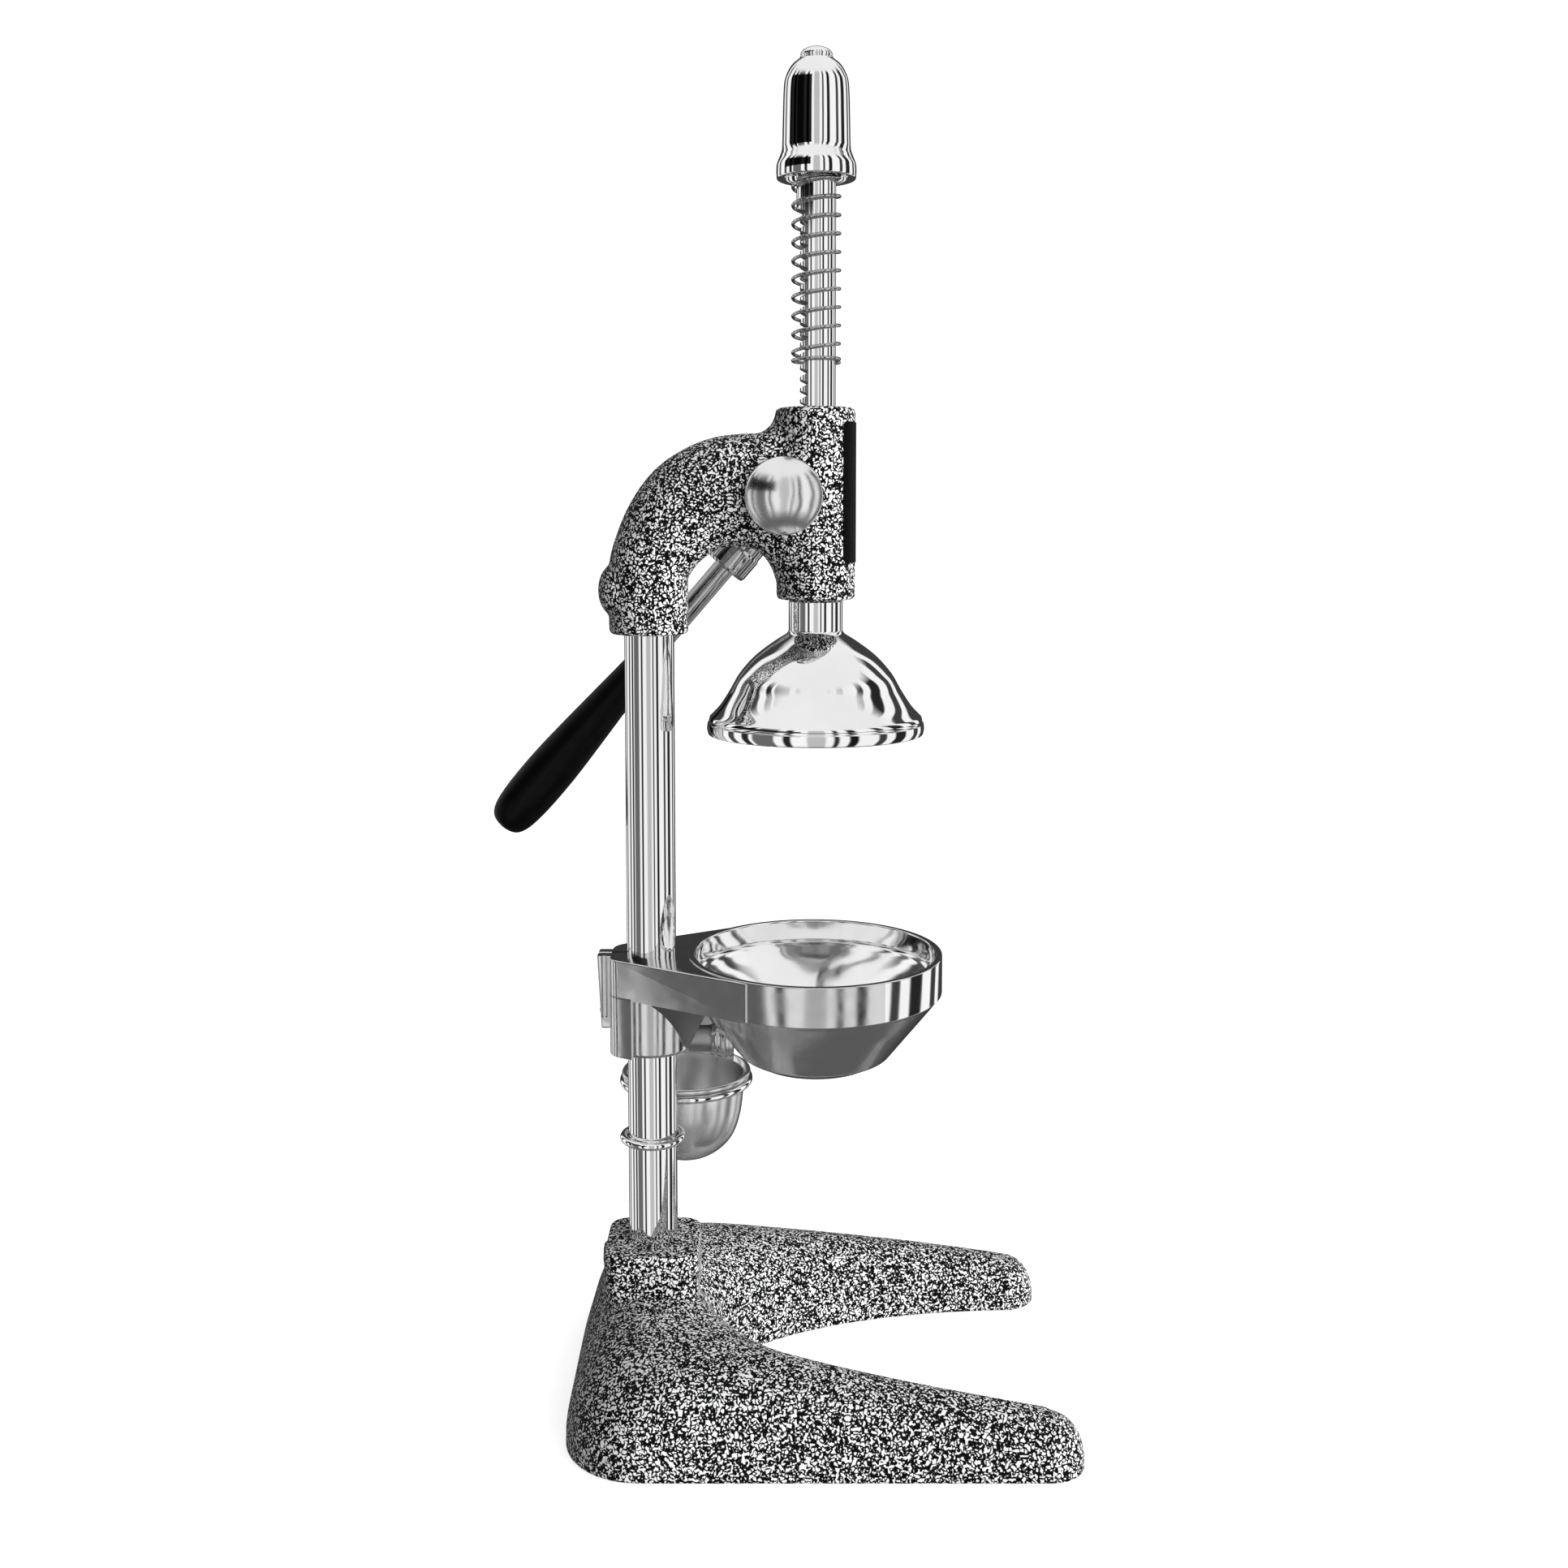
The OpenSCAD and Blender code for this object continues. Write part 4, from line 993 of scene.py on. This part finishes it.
def shade_bracket(bracket):
    """Makes the turned ring brighter than the rest, and paints shade on the rib, web and gusset under the
    arm with a darker, rougher copy of the casting.
    """
    bracket.data.materials.append(M_RING)
    bracket.data.materials.append(M_CASTING_PAINTED_SHADE)
    lean = arm_flank()[-1]
    for face in bracket.data.polygons:
        p = face.center / MM
        from_press, from_column = math.hypot(p.x - PRESS_X, p.y), math.hypot(p.x, p.y)
        turned = abs(from_press - RING_R) < 0.4
        past_hopper = from_press > RING_R - 26.6 * (BAND_LOW - p.z) / 33 + 0.5
        if turned and p.z > BAND_LOW and p.x > PRESS_X - RING_R * math.cos(lean) - 1:
            face.material_index = 1
        elif p.z > LEDGE_Z and from_press < RING_IN_R + 0.3:
            face.material_index = 1
        # painted shade: the rib, web and gusset under the arm take the darker copy of the casting
        elif p.z < BAND_LOW + 1 and 0 < p.x < 31 and from_column > CLAMP_R + 0.3 and past_hopper:
            face.material_index = 2


def make_bracket():
    """The bracket: ring and hopper, arm and split clamp, rib and lugs."""
    parts = [bracket_hopper()] + bracket_clamp() + bracket_rib() + bracket_lugs()
    bracket = joined("bowl_bracket_skin", parts)
    finish_piece(bracket, "stand", M_POLISHED, "polished_casting", "bowl_bracket")
    shade_bracket(bracket)
    return bracket


def make_funnel():
    """The dished funnel with its rim and outlet."""
    low, high = node_box("bowl_funnel")
    r_top = radius_of("bowl_funnel")
    z = high.z
    mouth = low.z + 0.4
    dish = smooth_curve([(56.4, z), (54, z - 2.4), (48, z - 7.6), (38, z - 14.6), (28, z - 20.8),
        (19, z - 26.4), (14.2, z - 31.5), (13, z - 37), (13, mouth)])
    under = smooth_curve([(14.6, mouth), (14.6, z - 38), (16.2, z - 32), (20.5, z - 28.2), (29, z - 22.6),
        (39, z - 16.4), (49, z - 9.4), (55.4, z - 3.6), (57, z - 1.6)])
    outline = rounded([(r_top, z - 1.6, 0.3), (r_top, z, 0.5), (57.4, z, 0)])[:-1] + dish + under
    funnel = lathe("bowl_funnel_skin", outline, (PRESS_X, 0, 0), segments=160)
    sharpened(funnel, 50)
    return finish_piece(funnel, "funnel", M_FUNNEL, "polished_casting", "bowl_funnel")


# -------- drip cup

def make_cup():
    """The small round cup with its rolled lip."""
    low, high = node_box("drip_cup")
    c = centre_of("drip_cup")
    r = radius_of("drip_cup")
    z, top = low.z, high.z
    wall = smooth_curve([(0, z), (8, z + 0.1), (14.5, z + 2.2), (21.6, z + 7.4), (26.6, z + 14.4),
        (29.6, z + 24), (31.0, z + 34), (31.6, z + 42), (31.8, top - 4.4)], 8)
    lip_r = 1.5
    lip = [
        (r - lip_r + lip_r * math.cos(a), top - lip_r + lip_r * math.sin(a))
        for a in spread(math.radians(-110), math.radians(140), 14)
    ]
    inside = smooth_curve([(31.0, top - 2.2), (30.6, top - 6), (30.2, z + 34), (28.6, z + 24),
        (25.6, z + 15), (20.8, z + 8.4), (13.8, z + 3.4), (7, z + 1.3), (0, z + 1.2)], 8)
    wall[0].x = 0
    inside[-1].x = 0
    cup = lathe("drip_cup_skin", wall + lip + inside, (c.x, c.y, 0), segments=144)
    return finish_piece(cup, "drip_cup", M_CUP, "chrome", "drip_cup")


def make_drip_ring():
    """The cup's wire holder: a hoop, a rising link and a loop round the column."""
    low, high = node_box("drip_ring")
    cup = centre_of("drip_cup")
    reach = math.hypot(cup.x, cup.y)
    turn = Matrix.Rotation(math.atan2(cup.y, cup.x), 4, "Z")
    wire = 2.1
    ring_z, loop_z = high.z - wire, low.z + wire
    hoop_r = 34.2
    loop_r = COLUMN_R + 0.06 + wire
    hoop = [turn @ Vector((reach + hoop_r * math.cos(a), hoop_r * math.sin(a), ring_z))
        for a in full_turn(120)]
    loop = [turn @ Vector((loop_r * math.cos(a), loop_r * math.sin(a), loop_z))
        for a in full_turn(80)]
    link = smooth_curve([turn @ Vector(p) for p in ((loop_r, 0, loop_z), (loop_r + 2.2, 0, loop_z + 2.6),
        (reach - hoop_r - 2.2, 0, ring_z - 2.6), (reach - hoop_r, 0, ring_z))], 6)
    ring = joined("drip_ring_wire", [swept("hoop", hoop, wire, 20, True),
        swept("loop", loop, wire, 20, True), swept("link", link, wire, 20)])
    return finish_piece(ring, "drip_holder", M_CHROME, "chrome", "drip_ring")


# -------- studio

def make_floor():
    """A plain pale floor."""
    bm = bmesh.new()
    bmesh.ops.create_grid(bm, x_segments=1, y_segments=1, size=4000)
    floor = new_object("floor", bm)
    material, tree, shader = node_material("floor")
    grain = mapped_noise(tree, 8, 2)
    ramp(tree, grain, [(0.3, 0.96), (0.7, 0.99)], shader.inputs["Base Color"])
    set_inputs(shader, {"Roughness": 0.9, "Specular IOR Level": 0.1, "Emission Color": grey(1)})
    # a lit-through backdrop: it glows for the camera only, so just the contact shadow shows
    path = tree.nodes.new("ShaderNodeLightPath")
    glow = calculated(tree, "MULTIPLY", path.outputs["Is Camera Ray"], 0.72)
    tree.links.new(glow, shader.inputs["Emission Strength"])
    floor.data.materials.append(material)
    floor.visible_glossy = False
    floor.visible_diffuse = False


def area_light(name, place, target, size, power):
    """A soft rectangular light that faces its target and doesn't show in the chrome."""
    light = bpy.data.lights.new(name, "AREA")
    light.shape = "RECTANGLE"
    light.size, light.size_y = size
    light.energy = power
    lamp = in_scene(name, light)
    lamp.location = Vector(place)
    lamp.visible_glossy = False
    lamp.rotation_euler = (Vector(target) - lamp.location).to_track_quat("-Z", "Y").to_euler()


def mixed(tree, blend, share, first, second):
    """A colour mix: share, first and second are each a socket or a number, which gives a grey."""
    node = tree.nodes.new("ShaderNodeMix")
    node.data_type = "RGBA"
    node.blend_type = blend
    for name, value in (("Factor", share), ("A", first), ("B", second)):
        if isinstance(value, (int, float)):
            node.inputs[name].default_value = value if name == "Factor" else grey(value)
        else:
            tree.links.new(value, node.inputs[name])
    return node.outputs["Result"]


def turn_share(degrees):
    """An azimuth of -180 to 180 degrees as a share of a full turn."""
    return (degrees + 180) / 360


def azimuth_bands(tree, around, gaps):
    """Brightness round the studio: white, with gaps of (middle, half-width, brightness) in degrees."""
    stops = []
    for middle, half, value in gaps:
        for offset, level in ((-half - 1.4, 1.0), (-half, value), (half, value), (half + 1.4, 1.0)):
            stops.append((turn_share(middle + offset), level))
    stops.sort()
    # a colour ramp holds 32 stops, so more gaps are split over two ramps that multiply
    if len(stops) <= 32:
        return ramp(tree, around, stops)
    split = len(stops) // 8 * 4
    return mixed(tree, "MULTIPLY", 1.0,
        ramp(tree, around, stops[:split]), ramp(tree, around, stops[split:]))


def as_share(tree, source, reach):
    """A value between -reach and reach as a share from 0 to 1."""
    node = tree.nodes.new("ShaderNodeMapRange")
    set_inputs(node, {"From Min": -reach, "From Max": reach})
    tree.links.new(source, node.inputs["Value"])
    return node.outputs["Result"]


def make_world():
    """A white studio with dark gaps between its panels, which the chrome picks up as bands."""
    world = bpy.data.worlds.new("studio")
    bpy.context.scene.world = world
    world.use_nodes = True
    tree = world.node_tree
    tree.nodes.clear()
    place = tree.nodes.new("ShaderNodeTexCoord")
    split = tree.nodes.new("ShaderNodeSeparateXYZ")
    tree.links.new(place.outputs["Generated"], split.inputs["Vector"])
    # the azimuth of a direction, 0 at -Y, growing towards +X, as a share of a full turn
    flip = calculated(tree, "MULTIPLY", split.outputs["Y"], -1)
    azimuth = calculated(tree, "ARCTAN2", split.outputs["X"], flip)
    around = as_share(tree, azimuth, math.pi)
    height = as_share(tree, split.outputs["Z"], 1)

    def level(stops):
        """A ramp over the sine of the elevation."""
        return ramp(tree, height, [((z + 1) / 2, v) for z, v in stops])

    front = azimuth_bands(tree, around, [(-128, 5, 0.12), (-100, 4, 0.06), (-80, 4, 0.02),
        (-58, 12, 0.15), (-31, 3.5, 0.02), (0, 9, 0.55), (21, 2.2, 0.03), (40, 4.5, 0.01), (74, 4.5, 0.05),
        (100, 8, 0.02), (130, 5, 0.05)])
    # the wall behind is dark
    back = ramp(tree, around, [(turn_share(-146), 0.05), (turn_share(-144), 1.0),
        (turn_share(144), 1.0), (turn_share(146), 0.05)])
    middle = mixed(tree, "MULTIPLY", 1.0, front, back)
    # a dark doorway stands high on the left
    doorway = mixed(tree, "LIGHTEN", 1.0, azimuth_bands(tree, around, [(-60, 42, 0.015)]),
        level([(0.17, 1.0), (0.19, 0.0), (0.5, 0.0), (0.58, 1.0)]))
    walls = mixed(tree, "MULTIPLY", 1.0, middle, doorway)
    # the walls end in a light ceiling and a dark floor
    high = mixed(tree, "MIX", level([(0.62, 0.0), (0.76, 1.0)]), walls, 0.9)
    low = mixed(tree, "MIX", level([(-0.8, 1.0), (-0.5, 0.0)]), high, 0.14)
    # matt faces are lit by two large soft panels: one in front on the right, and one behind
    lit = []
    for towards, strength in (((0.72, -0.68, 0.1), 2.8), ((0.3, 0.95, 0.15), 1.8)):
        panel = tree.nodes.new("ShaderNodeVectorMath")
        panel.operation = "DOT_PRODUCT"
        panel.inputs[1].default_value = Vector(towards).normalized()
        tree.links.new(place.outputs["Generated"], panel.inputs[0])
        lit.append(ramp(tree, panel.outputs["Value"],
            [(0.0, 0.005), (0.5, 0.05), (0.97, strength)]))
    soft = mixed(tree, "ADD", 1.0, *lit)
    path = tree.nodes.new("ShaderNodeLightPath")
    matt = mixed(tree, "MIX", path.outputs["Is Diffuse Ray"], low, soft)
    light = tree.nodes.new("ShaderNodeBackground")
    tree.links.new(mixed(tree, "MIX", path.outputs["Is Camera Ray"], matt, 1.1), light.inputs["Color"])
    out = tree.nodes.new("ShaderNodeOutputWorld")
    tree.links.new(light.outputs["Background"], out.inputs["Surface"])


def studio():
    """World, floor and two area lights aimed at the middle of the press."""
    make_world()
    make_floor()
    aim = (0.05, 0, 0.3)
    area_light("key", (1.5, -0.8, 0.75), aim, (0.5, 1.2), 6)
    area_light("fill", (-0.3, -1.6, 0.5), aim, (0.9, 0.5), 1)


def make_camera():
    """A camera in front of the press: its lens and shift are given in pixels of the square frame."""
    lens_px = 1969
    frame_px = 1932
    down_px = 161
    pitch_deg = 5
    place = (67.5, -798, 446)
    camera = bpy.data.cameras.new("camera")
    camera.sensor_width = 36
    camera.lens = camera.sensor_width * lens_px / frame_px
    camera.shift_y = -down_px / frame_px
    camera.clip_start = 50 * MM
    camera.clip_end = 30000 * MM
    view = in_scene("camera", camera)
    view.location = Vector(place) * MM
    view.rotation_euler = (math.radians(90 - pitch_deg), 0, 0)
    bpy.context.scene.camera = view


make_camera()
studio()
dress_cad_nodes()
make_base()
make_head()
make_nameplate()
make_column()
make_bell()
make_cap()
make_spring()
make_dome()
make_lever()
make_bracket()
make_funnel()
make_cup()
make_drip_ring()

bpy.context.scene.view_settings.view_transform = "Standard"
